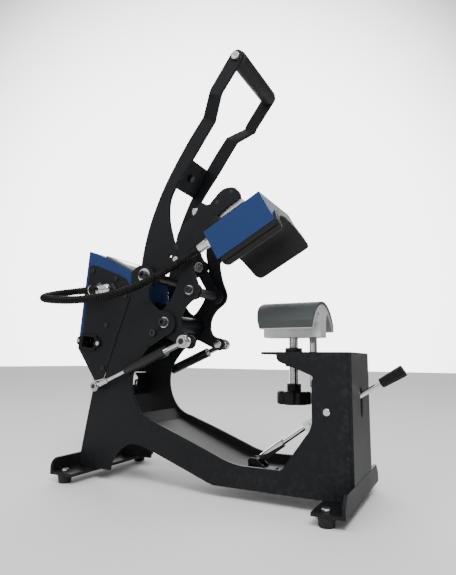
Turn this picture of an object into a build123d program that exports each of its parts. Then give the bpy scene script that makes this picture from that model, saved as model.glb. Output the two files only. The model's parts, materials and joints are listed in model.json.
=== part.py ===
from build123d import *
import math
import os

os.makedirs("parts", exist_ok=True)

# ---------------------------------------------------------------- dimensions
# Lengths in millimetres. Side profiles are written as (back, up) pairs measured
# from a datum line on the table; DATUM_Y moves that datum so that the origin
# lies on the table under the middle of the machine. The operator stands at -Y.
DATUM_Y = 27.81

SIDE_IN, SIDE_OUT = 47.7, 51.7      # frame side plates, |x| of both faces
ARM_IN, ARM_OUT = 41.9, 46.9        # head arm plates
LEV_IN, LEV_OUT = 36.0, 41.0        # lever plates, lower part
LEV_UP_IN, LEV_UP_OUT = 59.0, 64.0  # lever plates, upper part
LINK_IN, LINK_OUT = 30.0, 35.0      # toggle links
SPRING_X = 61.2                     # gas spring axes

A = (88.8, 300.4)                   # frame to lever pivot
C = (50.1, 228.5)                   # frame to arm pivot
B = (12.2, 274.3)                   # arm to link pivot
D = (42.0, 323.0)                   # lever to link pivot (open eye)
R_STUD = (163.3, 135.2)             # gas spring rear stud
T_STUD = (11.2, 200.5)              # gas spring arm stud
SHAFT_R = 8.0
RUN = 0.05                          # running fit, radial

SCREW_Y, POST_Y = -126.8, -154.2    # lift screw and guide post
SCREW_R, POST_R = 6.3, 5.15

PAD_R, ARCH_R, ARCH_IN = 59.0, 55.2, 48.5   # lower platen arch
PAD_CZ = 195.5                      # height of the arch axis
PLATEN_Y0, PLATEN_Y1 = -169.0, -88.0

HEAD_TILT = 29.0                    # head tilt in the open position
HEAD_0 = (-39.2, 312.3)             # rear lower edge of the head cover
HEAD_R = 60.0                       # concave arch of the heating platen
HEAD_CH = -39.0                     # its axis in head coordinates
COVER_W, COVER_L, COVER_H, COVER_T = 60.0, 96.0, 48.3, 1.2

CAP_PIN = (-185.0, 115.9)           # cap lever pivot
CAP_ANGLE = 31.2
STRUT_0 = (-70.5, 38.9)             # strut base pivot
STRUT_1 = (-148.0, 94.0)            # strut to cap lever pivot (open eye)

HOSE_R = 5.75


# ------------------------------------------------------------------- helpers
def V(y, z):
    return (y + DATUM_Y, z)


def yz(x):
    """Sketch plane across X: sketch x is +Y, sketch y is +Z, extrudes towards +X."""
    return Plane(origin=(x, 0, 0), x_dir=(0, 1, 0), z_dir=(1, 0, 0))


def runs(*parts):
    """Edges of a closed profile: two points make a straight edge, more a smooth one."""
    for part in parts:
        pts = [V(*p) for p in part]
        if len(pts) == 2:
            Line(*pts)
        else:
            Spline(*pts)


def rod(x0, x1, centres, r, mode=Mode.ADD):
    """Round bars along X at the given side profile points."""
    with BuildSketch(yz(x0)) as face:
        with Locations(*[V(*c) for c in centres]):
            Circle(r)
    extrude(face.sketch, amount=x1 - x0, mode=mode)


def hexbar(x0, x1, centres, r, mode=Mode.ADD):
    with BuildSketch(yz(x0)) as face:
        with Locations(*[V(*c) for c in centres]):
            RegularPolygon(r, 6)
    extrude(face.sketch, amount=x1 - x0, mode=mode)


def both(x0, x1):
    """The same span on the left and on the right side."""
    return [(-x0, -x1), (x0, x1)]


def along(p, q, d):
    """Side profile point at distance d from p towards q."""
    n = math.hypot(q[0] - p[0], q[1] - p[1])
    return (p[0] + (q[0] - p[0]) * d / n, p[1] + (q[1] - p[1]) * d / n)


def axis_plane(x, p, q, d):
    """Plane across the line from p to q at distance d, facing q."""
    n = math.hypot(q[0] - p[0], q[1] - p[1])
    c = along(p, q, d)
    return Plane(origin=(x, c[0] + DATUM_Y, c[1]), x_dir=(1, 0, 0),
                 z_dir=(0, (q[0] - p[0]) / n, (q[1] - p[1]) / n))


def stick(x, p, q, d0, d1, r, mode=Mode.ADD):
    """Round bar on the line from p to q between two distances from p."""
    with BuildSketch(axis_plane(x, p, q, d0)) as face:
        Circle(r)
    extrude(face.sketch, amount=d1 - d0, mode=mode)


SN, CS = math.sin(math.radians(HEAD_TILT)), math.cos(math.radians(HEAD_TILT))


def hp(s, h):
    """Head coordinates to side profile: s runs forwards along the cover, h across it."""
    return (HEAD_0[0] - CS * s + SN * h, HEAD_0[1] + SN * s + CS * h)


def head_across(s):
    """Plane across the head at s: sketch x is +X, sketch y is h, extrudes forwards."""
    p = hp(s, 0)
    return Plane(origin=(0, p[0] + DATUM_Y, p[1]), x_dir=(1, 0, 0), z_dir=(0, -CS, SN))


def head_flat(h):
    """Plane parallel to the cover top: sketch x is +X, sketch y is -s, extrudes along h."""
    p = hp(0, h)
    return Plane(origin=(0, p[0] + DATUM_Y, p[1]), x_dir=(1, 0, 0), z_dir=(0, SN, CS))


def arch(r, cz, half):
    """Arc of radius r about (0, cz) over the crown, to an angle on both sides."""
    a = math.radians(half)
    return ThreePointArc((-r * math.sin(a), cz + r * math.cos(a)), (0, cz + r),
                         (r * math.sin(a), cz + r * math.cos(a)))


def save(part, name):
    part.label = name
    export_step(part, "parts/" + name + ".step")
    print(name, len(part.solids()), round(part.volume / 1000, 2))


# --------------------------------------------------------------- frame plates
SIDE_RUNS = (
    [(111.6, 272.0), (114.0, 298.0)],
    [(114.0, 298.0), (111.0, 308.6), (101.8, 315.0), (90.6, 316.0), (79.3, 311.0), (72.6, 302.6), (72.0, 293.5),
     (77.5, 285.5), (80.4, 277.0), (79.0, 265.5), (73.4, 256.3), (64.6, 249.0), (55.5, 245.6)],
    [(55.5, 245.6), (49.9, 244.8), (40.0, 240.6), (34.0, 232.0), (33.4, 222.0), (39.0, 213.4), (50.4, 209.4)],
    [(50.4, 209.4), (79.6, 192.6)],
    [(79.6, 192.6), (90.6, 180.0), (99.6, 166.0), (104.4, 152.0), (105.0, 139.7), (103.0, 127.0), (98.0, 114.5),
     (90.4, 103.0), (79.4, 94.3), (63.6, 88.4)],
    [(63.6, 88.4), (18.5, 73.0)],
    [(18.5, 73.0), (-36.9, 52.5)],
    [(-36.9, 52.5), (-54.0, 46.6), (-71.7, 43.4)],
    [(-71.7, 43.4), (-122.0, 43.4)],
    [(-122.0, 43.4), (-126.5, 44.2), (-130.0, 47.6)],
    [(-130.0, 47.6), (-158.2, 86.1)],
    [(-158.2, 86.1), (-163.8, 94.6), (-166.3, 104.0)],
    [(-166.3, 104.0), (-166.5, 152.0)],
    [(-166.5, 152.0), (-167.9, 156.6), (-163.4, 159.3)],
    [(-163.4, 159.3), (-143.0, 167.6), (-127.0, 173.4)],
    [(-127.0, 173.4), (-122.6, 176.6), (-121.2, 181.6)],
    [(-121.2, 181.6), (-121.2, 186.9)],
    [(-121.2, 186.9), (-211.3, 186.9)],
    [(-211.3, 186.9), (-211.3, 15.4)],
    [(-211.3, 15.4), (-40.4, 15.4)],
    [(-40.4, 15.4), (-29.0, 16.2), (-20.5, 19.0)],
    [(-20.5, 19.0), (60.0, 47.0)],
    [(60.0, 47.0), (72.0, 50.4), (83.9, 54.1), (96.3, 55.3), (110.5, 52.5), (121.2, 46.6), (128.4, 39.0),
     (134.6, 30.0), (139.0, 15.4)],
    [(139.0, 15.4), (196.8, 15.4)],
    [(196.8, 15.4), (196.8, 31.8)],
    [(196.8, 31.8), (190.3, 68.2)],
    [(190.3, 68.2), (178.6, 128.4)],
    [(178.6, 128.4), (176.0, 141.2)],
    [(176.0, 141.2), (158.0, 145.0)],
    [(158.0, 145.0), (111.6, 272.0)],
)


def side_plate(x0):
    with BuildSketch(yz(x0)) as face:
        with BuildLine():
            runs(*SIDE_RUNS)
        make_face()
        with Locations(V(*A), V(*C)):
            Circle(5.0, mode=Mode.SUBTRACT)
        with Locations(V(68.9, 213.6), V(*R_STUD)):
            Circle(4.0, mode=Mode.SUBTRACT)
        with Locations(V(*CAP_PIN)):
            Circle(3.0, mode=Mode.SUBTRACT)
    extrude(face.sketch, amount=SIDE_OUT - SIDE_IN)


with BuildPart() as frame_side_left:
    side_plate(-SIDE_OUT)
save(frame_side_left.part, "frame_side_left")

with BuildPart() as frame_side_right:
    side_plate(SIDE_IN)
save(frame_side_right.part, "frame_side_right")

with BuildPart() as column_front_plate:
    with BuildSketch(Plane.XZ.offset(211.3 - DATUM_Y)):
        with BuildLine():
            Polyline((-51.7, 35.4), (51.7, 35.4), (51.7, 184.9), (49.7, 186.9), (-49.7, 186.9), (-51.7, 184.9), close=True)
        make_face()
        with Locations((0, 125.5)):
            SlotOverall(37.0, 11.0, rotation=90, mode=Mode.SUBTRACT)
    extrude(amount=4.0)
save(column_front_plate.part, "column_front_plate")

with BuildPart() as top_plate:
    with BuildSketch(Plane.XY.offset(183.7)):
        with BuildLine():
            Polyline((-47.7, -211.3 + DATUM_Y), (47.7, -211.3 + DATUM_Y), (47.7, -101.0 + DATUM_Y), (43.7, -97.0 + DATUM_Y),
                     (-43.7, -97.0 + DATUM_Y), (-47.7, -101.0 + DATUM_Y), close=True)
        make_face()
        with Locations((0, SCREW_Y + DATUM_Y)):
            Circle(7.4, mode=Mode.SUBTRACT)
        with Locations((0, POST_Y + DATUM_Y)):
            Circle(6.2, mode=Mode.SUBTRACT)
    extrude(amount=3.2)
save(top_plate.part, "top_plate")

# inclined floor between the side plates, level under the column
with BuildPart() as base_web:
    with BuildSketch(yz(-SIDE_IN)):
        with BuildLine():
            pts = [(90.0, 99.0), (75.0, 84.0), (18.5, 62.6), (-37.0, 41.8), (-72.0, 31.6), (-211.3, 31.6),
                   (-211.3, 28.6), (-71.6, 28.6), (-36.0, 38.8), (19.5, 59.6), (76.6, 81.2), (92.4, 96.8)]
            Polyline(*[V(*p) for p in pts], close=True)
        make_face()
    extrude(amount=2 * SIDE_IN)
    # cross plate between the side plates, under the control box
    with BuildSketch(Plane.XZ.offset(-(152.6 + DATUM_Y))):
        with BuildLine():
            Polyline((-SIDE_IN, 119.0), (SIDE_IN, 119.0), (SIDE_IN, 154.0), (15.0, 154.0), (24.6, 145.8), (21.8, 134.7), (-SIDE_IN, 134.7), close=True)
        make_face()
    extrude(amount=3.0)
save(base_web.part, "base_web")

# ------------------------------------------------------------------ foot bars
BAR_X = 97.0


def angle_end(pts):
    return [V(*p) for p in pts]


with BuildPart() as foot_bars:
    with BuildSketch(yz(-BAR_X)):
        with BuildLine():
            Polyline(*angle_end([(-215.3, 11.2), (-177.0, 11.2), (-177.0, 15.2), (-211.3, 15.2), (-211.3, 35.2), (-215.3, 35.2)]), close=True)
        make_face()
    extrude(amount=2 * BAR_X)
    # the upright flange is cut off at an angle towards both ends
    with BuildSketch(Plane.XZ.offset(209.0 - DATUM_Y)):
        for s in (-1, 1):
            with BuildLine():
                Polyline((s * 80.0, 36.0), (s * 98.0, 36.0), (s * 98.0, 17.0), (s * BAR_X, 23.0), (s * 86.0, 35.2), close=True)
            make_face()
    extrude(amount=8.0, mode=Mode.SUBTRACT)
    with BuildSketch(Plane.XY.offset(11.2)):
        with Locations((-87.0, -192.0 + DATUM_Y), (87.0, -192.0 + DATUM_Y)):
            Circle(2.6)
    extrude(amount=4.0, mode=Mode.SUBTRACT)
    with BuildSketch(yz(-BAR_X)):
        with BuildLine():
            Polyline(*angle_end([(209.6, 11.2), (168.0, 11.2), (168.0, 15.2), (205.6, 15.2), (205.6, 33.2), (209.6, 33.2)]), close=True)
        make_face()
    extrude(amount=2 * BAR_X)
    with BuildSketch(Plane.XZ.offset(-211.0 - DATUM_Y)):
        for s in (-1, 1):
            with BuildLine():
                Line((s * 80.0, 34.0), (s * 98.0, 34.0))
                Line((s * 98.0, 34.0), (s * 98.0, 21.0))
                Line((s * 98.0, 21.0), (s * BAR_X, 21.0))
                RadiusArc((s * BAR_X, 21.0), (s * 85.0, 33.2), -s * 12.3)
                Line((s * 85.0, 33.2), (s * 80.0, 34.0))
            make_face()
    extrude(amount=6.0, mode=Mode.SUBTRACT)
    with BuildSketch(Plane.XY.offset(11.2)):
        with Locations((-87.0, 190.0 + DATUM_Y), (87.0, 190.0 + DATUM_Y)):
            Circle(2.6)
    extrude(amount=4.0, mode=Mode.SUBTRACT)
save(foot_bars.part, "foot_bars")

FEET = [(-87.0, -192.0 + DATUM_Y), (87.0, -192.0 + DATUM_Y), (-87.0, 190.0 + DATUM_Y), (87.0, 190.0 + DATUM_Y)]

with BuildPart() as rubber_feet:
    with BuildSketch(Plane.XY):
        with Locations(*FEET):
            Circle(8.6)
    extrude(amount=11.2, taper=-8)
    with BuildSketch(Plane.XY):
        with Locations(*FEET):
            Circle(4.4)
    extrude(amount=5.0, mode=Mode.SUBTRACT)
    with BuildSketch(Plane.XY.offset(5.0)):
        with Locations(*FEET):
            Circle(2.3)
    extrude(amount=6.2, mode=Mode.SUBTRACT)
save(rubber_feet.part, "rubber_feet")

with BuildPart() as foot_bolts:
    with BuildSketch(Plane.XY.offset(5.2)):
        with Locations(*FEET):
            Circle(2.2)
    extrude(amount=13.2)
    with BuildSketch(Plane.XY.offset(15.2)):
        with Locations(*FEET):
            RegularPolygon(5.0, 6)
    extrude(amount=4.0)
save(foot_bolts.part, "foot_bolts")

# -------------------------------------------------------- pivots on the frame
with BuildPart() as cross_shafts:
    rod(-SIDE_IN, SIDE_IN, [(68.9, 213.6)], 3.6)
    rod(-SIDE_IN, SIDE_IN, [A], SHAFT_R)
    for x0, x1 in both(LEV_OUT + 0.4, SIDE_IN):
        rod(x0, x1, [A], 13.0)
    rod(-SIDE_IN, SIDE_IN, [C], SHAFT_R)
    for x0, x1 in both(ARM_OUT + 0.35, SIDE_IN):
        rod(x0, x1, [C], 12.0)
save(cross_shafts.part, "cross_shafts")

with BuildPart() as pivot_washers:
    for x0, x1 in both(SIDE_OUT, SIDE_OUT + 2.2):
        rod(x0, x1, [A], 10.4)
        rod(x0, x1, [A], 5.4, mode=Mode.SUBTRACT)
        rod(x0, x1, [C], 8.0)
        rod(x0, x1, [C], 5.4, mode=Mode.SUBTRACT)
save(pivot_washers.part, "pivot_washers")

with BuildPart() as socket_bolts:
    for x0, x1 in both(SIDE_IN, SIDE_OUT + 2.2):
        rod(x0, x1, [A, C], 4.9)
    for x0, x1 in both(SIDE_OUT + 2.2, SIDE_OUT + 7.6):
        rod(x0, x1, [A, C], 6.3)
    for x0, x1 in both(SIDE_OUT + 4.2, SIDE_OUT + 7.6):
        hexbar(x0, x1, [A, C], 3.4, mode=Mode.SUBTRACT)
    chamfer(socket_bolts.faces().group_by(Axis.X)[0].edges().group_by(SortBy.LENGTH)[-1], 0.7)
    chamfer(socket_bolts.faces().group_by(Axis.X)[-1].edges().group_by(SortBy.LENGTH)[-1], 0.7)
    for x0, x1 in both(SIDE_IN, SIDE_OUT):
        rod(x0, x1, [(68.9, 213.6)], 3.4)
    for x0, x1 in both(SIDE_OUT, SIDE_OUT + 3.4):
        rod(x0, x1, [(68.9, 213.6)], 5.2)
    for x0, x1 in both(SIDE_OUT + 1.2, SIDE_OUT + 3.4):
        hexbar(x0, x1, [(68.9, 213.6)], 2.6, mode=Mode.SUBTRACT)
    # bolt on the cross plate under the control box
    with BuildSketch(Plane.XZ.offset(-(149.6 + DATUM_Y))):
        with Locations((39.6, 137.7)):
            Circle(5.4)
    extrude(amount=4.6)
    with BuildSketch(Plane.XZ.offset(-(145.0 + DATUM_Y))):
        with Locations((39.6, 137.7)):
            RegularPolygon(2.6, 6)
    extrude(amount=-2.4, mode=Mode.SUBTRACT)
save(socket_bolts.part, "socket_bolts")

with BuildPart() as rear_studs:
    for x0, x1 in both(SIDE_IN, 67.2):
        rod(x0, x1, [R_STUD], 4.0)
    for x0, x1 in both(SIDE_OUT, 56.4):
        hexbar(x0, x1, [R_STUD], 6.8)
    for x0, x1 in both(66.0, 68.4):
        rod(x0, x1, [R_STUD], 6.0)
    for x0, x1 in both(43.4, SIDE_IN):
        hexbar(x0, x1, [R_STUD], 7.4)
save(rear_studs.part, "rear_studs")

# ------------------------------------------------------------- column details
with BuildPart() as column_bushings:
    with BuildSketch(Plane.XY.offset(168.0)):
        with Locations((0, SCREW_Y + DATUM_Y)):
            Circle(11.0)
    extrude(amount=15.7)
    with BuildSketch(Plane.XY.offset(183.7)):
        with Locations((0, SCREW_Y + DATUM_Y)):
            Circle(7.3)
    extrude(amount=3.2)
    with BuildSketch(Plane.XY.offset(186.9)):
        with Locations((0, SCREW_Y + DATUM_Y)):
            Circle(11.5)
    extrude(amount=6.1)
    with BuildSketch(Plane.XY.offset(168.0)):
        with Locations((0, SCREW_Y + DATUM_Y)):
            Circle(SCREW_R + RUN)
    extrude(amount=25.0, mode=Mode.SUBTRACT)
    with BuildSketch(Plane.XY.offset(165.7)):
        with Locations((0, POST_Y + DATUM_Y)):
            Circle(9.0)
    extrude(amount=18.0)
    with BuildSketch(Plane.XY.offset(183.7)):
        with Locations((0, POST_Y + DATUM_Y)):
            Circle(6.1)
    extrude(amount=3.2)
    with BuildSketch(Plane.XY.offset(165.7)):
        with Locations((0, POST_Y + DATUM_Y)):
            Circle(POST_R + RUN)
    extrude(amount=21.2, mode=Mode.SUBTRACT)
save(column_bushings.part, "column_bushings")

with BuildPart() as cap_lever_pin:
    rod(-SIDE_OUT, SIDE_OUT, [CAP_PIN], 3.0)
    for x0, x1 in both(SIDE_OUT, SIDE_OUT + 2.6):
        rod(x0, x1, [CAP_PIN], 4.6)
    chamfer(cap_lever_pin.faces().group_by(Axis.X)[0].edges(), 0.8)
    chamfer(cap_lever_pin.faces().group_by(Axis.X)[-1].edges(), 0.8)
    for x0, x1 in both(8.4, 12.4):
        rod(x0, x1, [CAP_PIN], 6.5)
save(cap_lever_pin.part, "cap_lever_pin")

with BuildPart() as strut_bracket:
    for s in (-1, 1):
        with BuildSketch(yz(6.4 if s > 0 else -9.4)):
            with BuildLine():
                Polyline(*[V(*p) for p in [(-86.0, 31.6), (-72.0, 31.6), (-64.0, 34.4), (-63.0, 43.0), (-67.0, 45.6), (-74.0, 45.6), (-86.0, 36.5)]], close=True)
            make_face()
        extrude(amount=3.0)
    with BuildSketch(yz(-9.4)):
        with BuildLine():
            Polyline(*[V(*p) for p in [(-100.0, 31.6), (-73.0, 31.6), (-76.0, 33.8), (-100.0, 33.8)]], close=True)
        make_face()
    extrude(amount=18.8)
    rod(-11.0, 11.0, [STRUT_0], 2.5)
save(strut_bracket.part, "strut_bracket")

# ---------------------------------------------------------------- control box
BOX_OUT = 50.2
SHELL = [(201.4, 348.0), (178.3, 339.7), (114.9, 307.6), (114.9, 290.0), (113.2, 272.4), (155.6, 155.0),
         (186.6, 155.0), (215.2, 192.2), (212.8, 222.0), (206.8, 289.6)]
SIDE_COVER = [(196.1, 324.1), (183.4, 322.2), (135.8, 303.4), (123.5, 296.4), (117.2, 286.5), (113.4, 272.4),
              (159.2, 146.0), (176.2, 142.3), (211.6, 192.2), (206.3, 210.0), (198.2, 320.8)]
SCREWS = [(190.3, 314.6), (142.4, 298.4), (122.8, 270.5), (157.8, 227.4), (160.5, 161.9)]
INLET = (191.0, 201.6)
INLET_TILT = 7.0
INLET_TIP = (INLET[0] + math.cos(math.radians(INLET_TILT)), INLET[1] + math.sin(math.radians(INLET_TILT)))
GLAND_YZ = (150.0, 281.5)
REAR_N = math.hypot(67.6, 6.0)
REAR_WALL = Plane(origin=(0, 210.67 + DATUM_Y, 246.0), x_dir=(1, 0, 0), z_dir=(0, 67.6 / REAR_N, 6.0 / REAR_N))
ROCKER = (210.67 - 3.6 * 67.6 / REAR_N, 246.0 - 3.6 * 6.0 / REAR_N)

with BuildPart() as control_shell:
    with BuildSketch(yz(-BOX_OUT)):
        with BuildLine():
            Polyline(*[V(*p) for p in SHELL], close=True)
        make_face()
    extrude(amount=2 * BOX_OUT)
    with BuildSketch(yz(-BOX_OUT + 1.2)):
        with BuildLine():
            Polyline(*[V(*p) for p in SHELL], close=True)
        make_face()
        offset(amount=-1.2, kind=Kind.INTERSECTION)
    extrude(amount=2 * (BOX_OUT - 1.2), mode=Mode.SUBTRACT)
    # cut-outs for the inlet, the conduit gland, the switch, the display and the screws
    with BuildSketch(yz(-BOX_OUT)):
        with Locations(V(*INLET)):
            Rectangle(29.0, 22.0, rotation=INLET_TILT)
        with Locations(V(*GLAND_YZ)):
            Circle(6.6)
    extrude(amount=1.2, mode=Mode.SUBTRACT)
    for x0, x1 in both(BOX_OUT - 1.2, BOX_OUT):
        rod(x0, x1, SCREWS, 1.8, mode=Mode.SUBTRACT)
    with BuildSketch(REAR_WALL.offset(-4.0)):
        Rectangle(13.2, 27.2)
    extrude(amount=8.0, mode=Mode.SUBTRACT)
    # tabs that lie inside the frame side plates
    for x0, x1 in both(SIDE_IN - 1.5, SIDE_IN):
        with BuildSketch(yz(x0)):
            with BuildLine():
                Polyline(*[V(*p) for p in [(130.5, 229.0), (153.0, 166.7), (141.0, 162.3), (118.5, 224.6)]], close=True)
            make_face()
        extrude(amount=x1 - x0)
save(control_shell.part, "control_shell")


def side_cover(x0, holes):
    with BuildSketch(yz(x0)) as face:
        with BuildLine():
            Polyline(*[V(*p) for p in SIDE_COVER], close=True)
        make_face()
        with Locations(*[V(*p) for p in SCREWS]):
            Circle(1.8, mode=Mode.SUBTRACT)
        if holes:
            with Locations(V(*INLET)):
                Rectangle(29.0, 22.0, rotation=INLET_TILT, mode=Mode.SUBTRACT)
            with Locations(V(*GLAND_YZ)):
                Circle(6.6, mode=Mode.SUBTRACT)
        else:
            # the far cover stops above the shell's bottom edge
            with Locations(V(170.0, 145.0)):
                Rectangle(60.0, 19.0, mode=Mode.SUBTRACT)
    extrude(face.sketch, amount=SIDE_OUT - BOX_OUT)


with BuildPart() as box_side_covers:
    side_cover(-SIDE_OUT, True)
    side_cover(BOX_OUT, False)
save(box_side_covers.part, "box_side_covers")

with BuildPart() as cover_screws:
    for x0, x1 in both(BOX_OUT - 3.2, SIDE_OUT):
        rod(x0, x1, SCREWS, 1.7)
    for x0, x1 in both(SIDE_OUT, SIDE_OUT + 2.0):
        rod(x0, x1, SCREWS, 3.4)
    for x0, x1 in both(SIDE_OUT + 0.8, SIDE_OUT + 2.0):
        hexbar(x0, x1, SCREWS, 1.7, mode=Mode.SUBTRACT)
    ends = [along(INLET, INLET_TIP, 20.0), along(INLET, INLET_TIP, -20.0)]
    rod(-SIDE_OUT - 2.6, -SIDE_OUT, ends, 1.7)
    rod(-SIDE_OUT - 4.4, -SIDE_OUT - 2.6, ends, 3.0)
    rod(-SIDE_OUT - 4.4, -SIDE_OUT - 3.6, ends, 1.2, mode=Mode.SUBTRACT)
save(cover_screws.part, "cover_screws")

# the sloping top: a grey keypad panel with a display window
SLOPE_A, SLOPE_B = (178.3, 339.7), (114.9, 307.6)
SL = math.hypot(SLOPE_A[0] - SLOPE_B[0], SLOPE_A[1] - SLOPE_B[1])
SLOPE = Plane(origin=(0, SLOPE_B[0] + DATUM_Y, SLOPE_B[1]), x_dir=(1, 0, 0),
              z_dir=(0, -(SLOPE_A[1] - SLOPE_B[1]) / SL, (SLOPE_A[0] - SLOPE_B[0]) / SL))

with BuildPart() as keypad_panel:
    with BuildSketch(SLOPE):
        with Locations((0, SL / 2 - 1.0)):
            RectangleRounded(90.0, SL - 8.0, 4.0)
    extrude(amount=3.2)
    with BuildSketch(SLOPE.offset(2.2)):
        with Locations((0, SL / 2 + 12.0)):
            Rectangle(56.4, 24.4)
    extrude(amount=1.0, mode=Mode.SUBTRACT)
    # four shallow key domes under the film
    with BuildSketch(SLOPE.offset(3.2)):
        with Locations((-30.0, SL / 2 - 20.0), (-10.0, SL / 2 - 20.0), (10.0, SL / 2 - 20.0), (30.0, SL / 2 - 20.0)):
            RectangleRounded(14.0, 10.0, 3.0)
    extrude(amount=0.5, taper=30)
save(keypad_panel.part, "keypad_panel")

with BuildPart() as display_window:
    with BuildSketch(SLOPE.offset(2.2)):
        with Locations((0, SL / 2 + 12.0)):
            Rectangle(56.0, 24.0)
    extrude(amount=1.1)
save(display_window.part, "display_window")

with BuildPart() as controller_board:
    with BuildSketch(SLOPE.offset(-11.0)):
        with Locations((0, SL / 2 + 4.0)):
            Rectangle(80.0, 50.0)
    extrude(amount=1.6)
    with BuildSketch(SLOPE.offset(-9.4)):
        with Locations((-34.0, SL / 2 - 16.0), (34.0, SL / 2 - 16.0), (-34.0, SL / 2 + 24.0), (34.0, SL / 2 + 24.0)):
            Circle(3.0)
    extrude(amount=8.2)
    with BuildSketch(SLOPE.offset(-9.4)):
        with Locations((0, SL / 2 + 12.0)):
            Rectangle(50.0, 18.0)
    extrude(amount=6.5)
    with BuildSketch(SLOPE.offset(-23.0)):
        with Locations((-20.0, SL / 2 + 2.0)):
            Rectangle(18.0, 15.0)
        with Locations((12.0, SL / 2 + 6.0)):
            Rectangle(28.0, 12.0)
    extrude(amount=12.0)
save(controller_board.part, "controller_board")

with BuildPart() as power_supply:
    with BuildSketch(yz(-30.0)):
        with BuildLine():
            pts = [(160.0, 158.2), (184.0, 158.2), (203.0, 184.0), (176.0, 200.0), (150.5, 186.0)]
            Polyline(*[V(*p) for p in pts], close=True)
        make_face()
    extrude(amount=60.0)
    with BuildSketch(yz(-49.0)):
        with BuildLine():
            pts = [(165.0, 158.6), (178.0, 158.6), (182.0, 163.0), (171.0, 168.0)]
            Polyline(*[V(*p) for p in pts], close=True)
        make_face()
    extrude(amount=98.0)
save(power_supply.part, "power_supply")

with BuildPart() as iec_inlet:
    with BuildSketch(yz(-SIDE_OUT - 2.6)):
        with Locations(V(*INLET)):
            RectangleRounded(49.0, 14.0, 6.5, rotation=INLET_TILT)
            RectangleRounded(31.0, 24.0, 4.0, rotation=INLET_TILT)
    extrude(amount=2.6)
    with BuildSketch(yz(-SIDE_OUT)):
        with Locations(V(*INLET)):
            Rectangle(28.4, 21.4, rotation=INLET_TILT)
    extrude(amount=21.0)
    with BuildSketch(yz(-SIDE_OUT - 2.6)):
        with Locations(V(*INLET)):
            RectangleRounded(24.6, 16.8, 3.0, rotation=INLET_TILT)
    extrude(amount=17.6, mode=Mode.SUBTRACT)
    with BuildSketch(yz(-SIDE_OUT + 15.4)):
        with Locations(V(*INLET)):
            with Locations(Location((0, 0), INLET_TILT)):
                with Locations((-7.0, -1.6), (0.0, 2.4), (7.0, -1.6)):
                    Rectangle(2.0, 4.0)
    extrude(amount=-13.0)
    with BuildSketch(yz(-SIDE_OUT - 2.6)):
        with Locations(V(*along(INLET, INLET_TIP, 20.0)), V(*along(INLET, INLET_TIP, -20.0))):
            Circle(1.8)
    extrude(amount=2.6, mode=Mode.SUBTRACT)
save(iec_inlet.part, "iec_inlet")

with BuildPart() as switch_bezel:
    with BuildSketch(REAR_WALL):
        RectangleRounded(16.5, 30.5, 1.5)
    extrude(amount=2.4)
    with BuildSketch(REAR_WALL.offset(-15.0)):
        Rectangle(12.8, 26.8)
    extrude(amount=15.0)
    with BuildSketch(REAR_WALL.offset(-13.0)):
        Rectangle(10.6, 24.2)
    extrude(amount=16.0, mode=Mode.SUBTRACT)
    rod(-5.4, 5.4, [ROCKER], 1.4)
save(switch_bezel.part, "switch_bezel")

with BuildPart() as power_rocker:
    with BuildSketch(Plane(origin=(-4.9, ROCKER[0] + DATUM_Y, ROCKER[1]), x_dir=(0, 67.6 / REAR_N, 6.0 / REAR_N), z_dir=(1, 0, 0))):
        with BuildLine():
            Polyline((6.7, 10.2), (4.4, 0.0), (4.4, -11.2), (0.5, -11.0), (-4.6, -3.4), (-4.6, 3.4), (2.0, 10.8), close=True)
        make_face()
        Circle(1.45, mode=Mode.SUBTRACT)
    extrude(amount=9.8)
save(power_rocker.part, "power_rocker")

# ------------------------------------------------------------ conduit and glands
GL_X = -64.0
with BuildPart() as box_gland:
    # threaded stub through the side, an elbow and a ferrule that faces backwards
    rod(-SIDE_OUT, -BOX_OUT + 3.0, [GLAND_YZ], 6.5)
    hexbar(-SIDE_OUT - 4.0, -SIDE_OUT, [GLAND_YZ], 10.2)
    rod(-GL_X * -1.0, -SIDE_OUT - 4.0, [GLAND_YZ], 7.4)
    with BuildSketch(Plane.XZ.offset(-GLAND_YZ[0] - DATUM_Y + 8.4)):
        with Locations((GL_X, GLAND_YZ[1])):
            Circle(8.4)
    extrude(amount=-18.4)
    with BuildSketch(Plane.XZ.offset(-GLAND_YZ[0] - DATUM_Y - 10.0)):
        with Locations((GL_X, GLAND_YZ[1])):
            RegularPolygon(10.4, 6)
    extrude(amount=-9.0)
    with BuildSketch(Plane.XZ.offset(-GLAND_YZ[0] - DATUM_Y - 19.0)):
        with Locations((GL_X, GLAND_YZ[1])):
            Circle(8.2)
    extrude(amount=-12.0)
    with BuildSketch(Plane.XZ.offset(-GLAND_YZ[0] - DATUM_Y - 14.6)):
        with Locations((GL_X, GLAND_YZ[1])):
            Circle(HOSE_R + 0.5)
    extrude(amount=-17.0, mode=Mode.SUBTRACT)
save(box_gland.part, "box_gland")

HG_X, HG_H = -53.0, 33.0
HG_P = Plane(origin=(HG_X, hp(0, HG_H)[0] + DATUM_Y, hp(0, HG_H)[1]), x_dir=(1, 0, 0), z_dir=(0, CS, -SN))
with BuildPart() as head_gland:
    with BuildSketch(HG_P.offset(-4.0)):
        Circle(5.4)
    extrude(amount=4.0)
    with BuildSketch(HG_P):
        RegularPolygon(7.0, 6)
    extrude(amount=5.0)
    with BuildSketch(HG_P.offset(5.0)):
        Circle(6.9)
    extrude(amount=14.6)
    with BuildSketch(HG_P.offset(9.6)):
        Circle(HOSE_R + 0.4)
    extrude(amount=10.0, mode=Mode.SUBTRACT)
save(head_gland.part, "head_gland")

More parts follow.
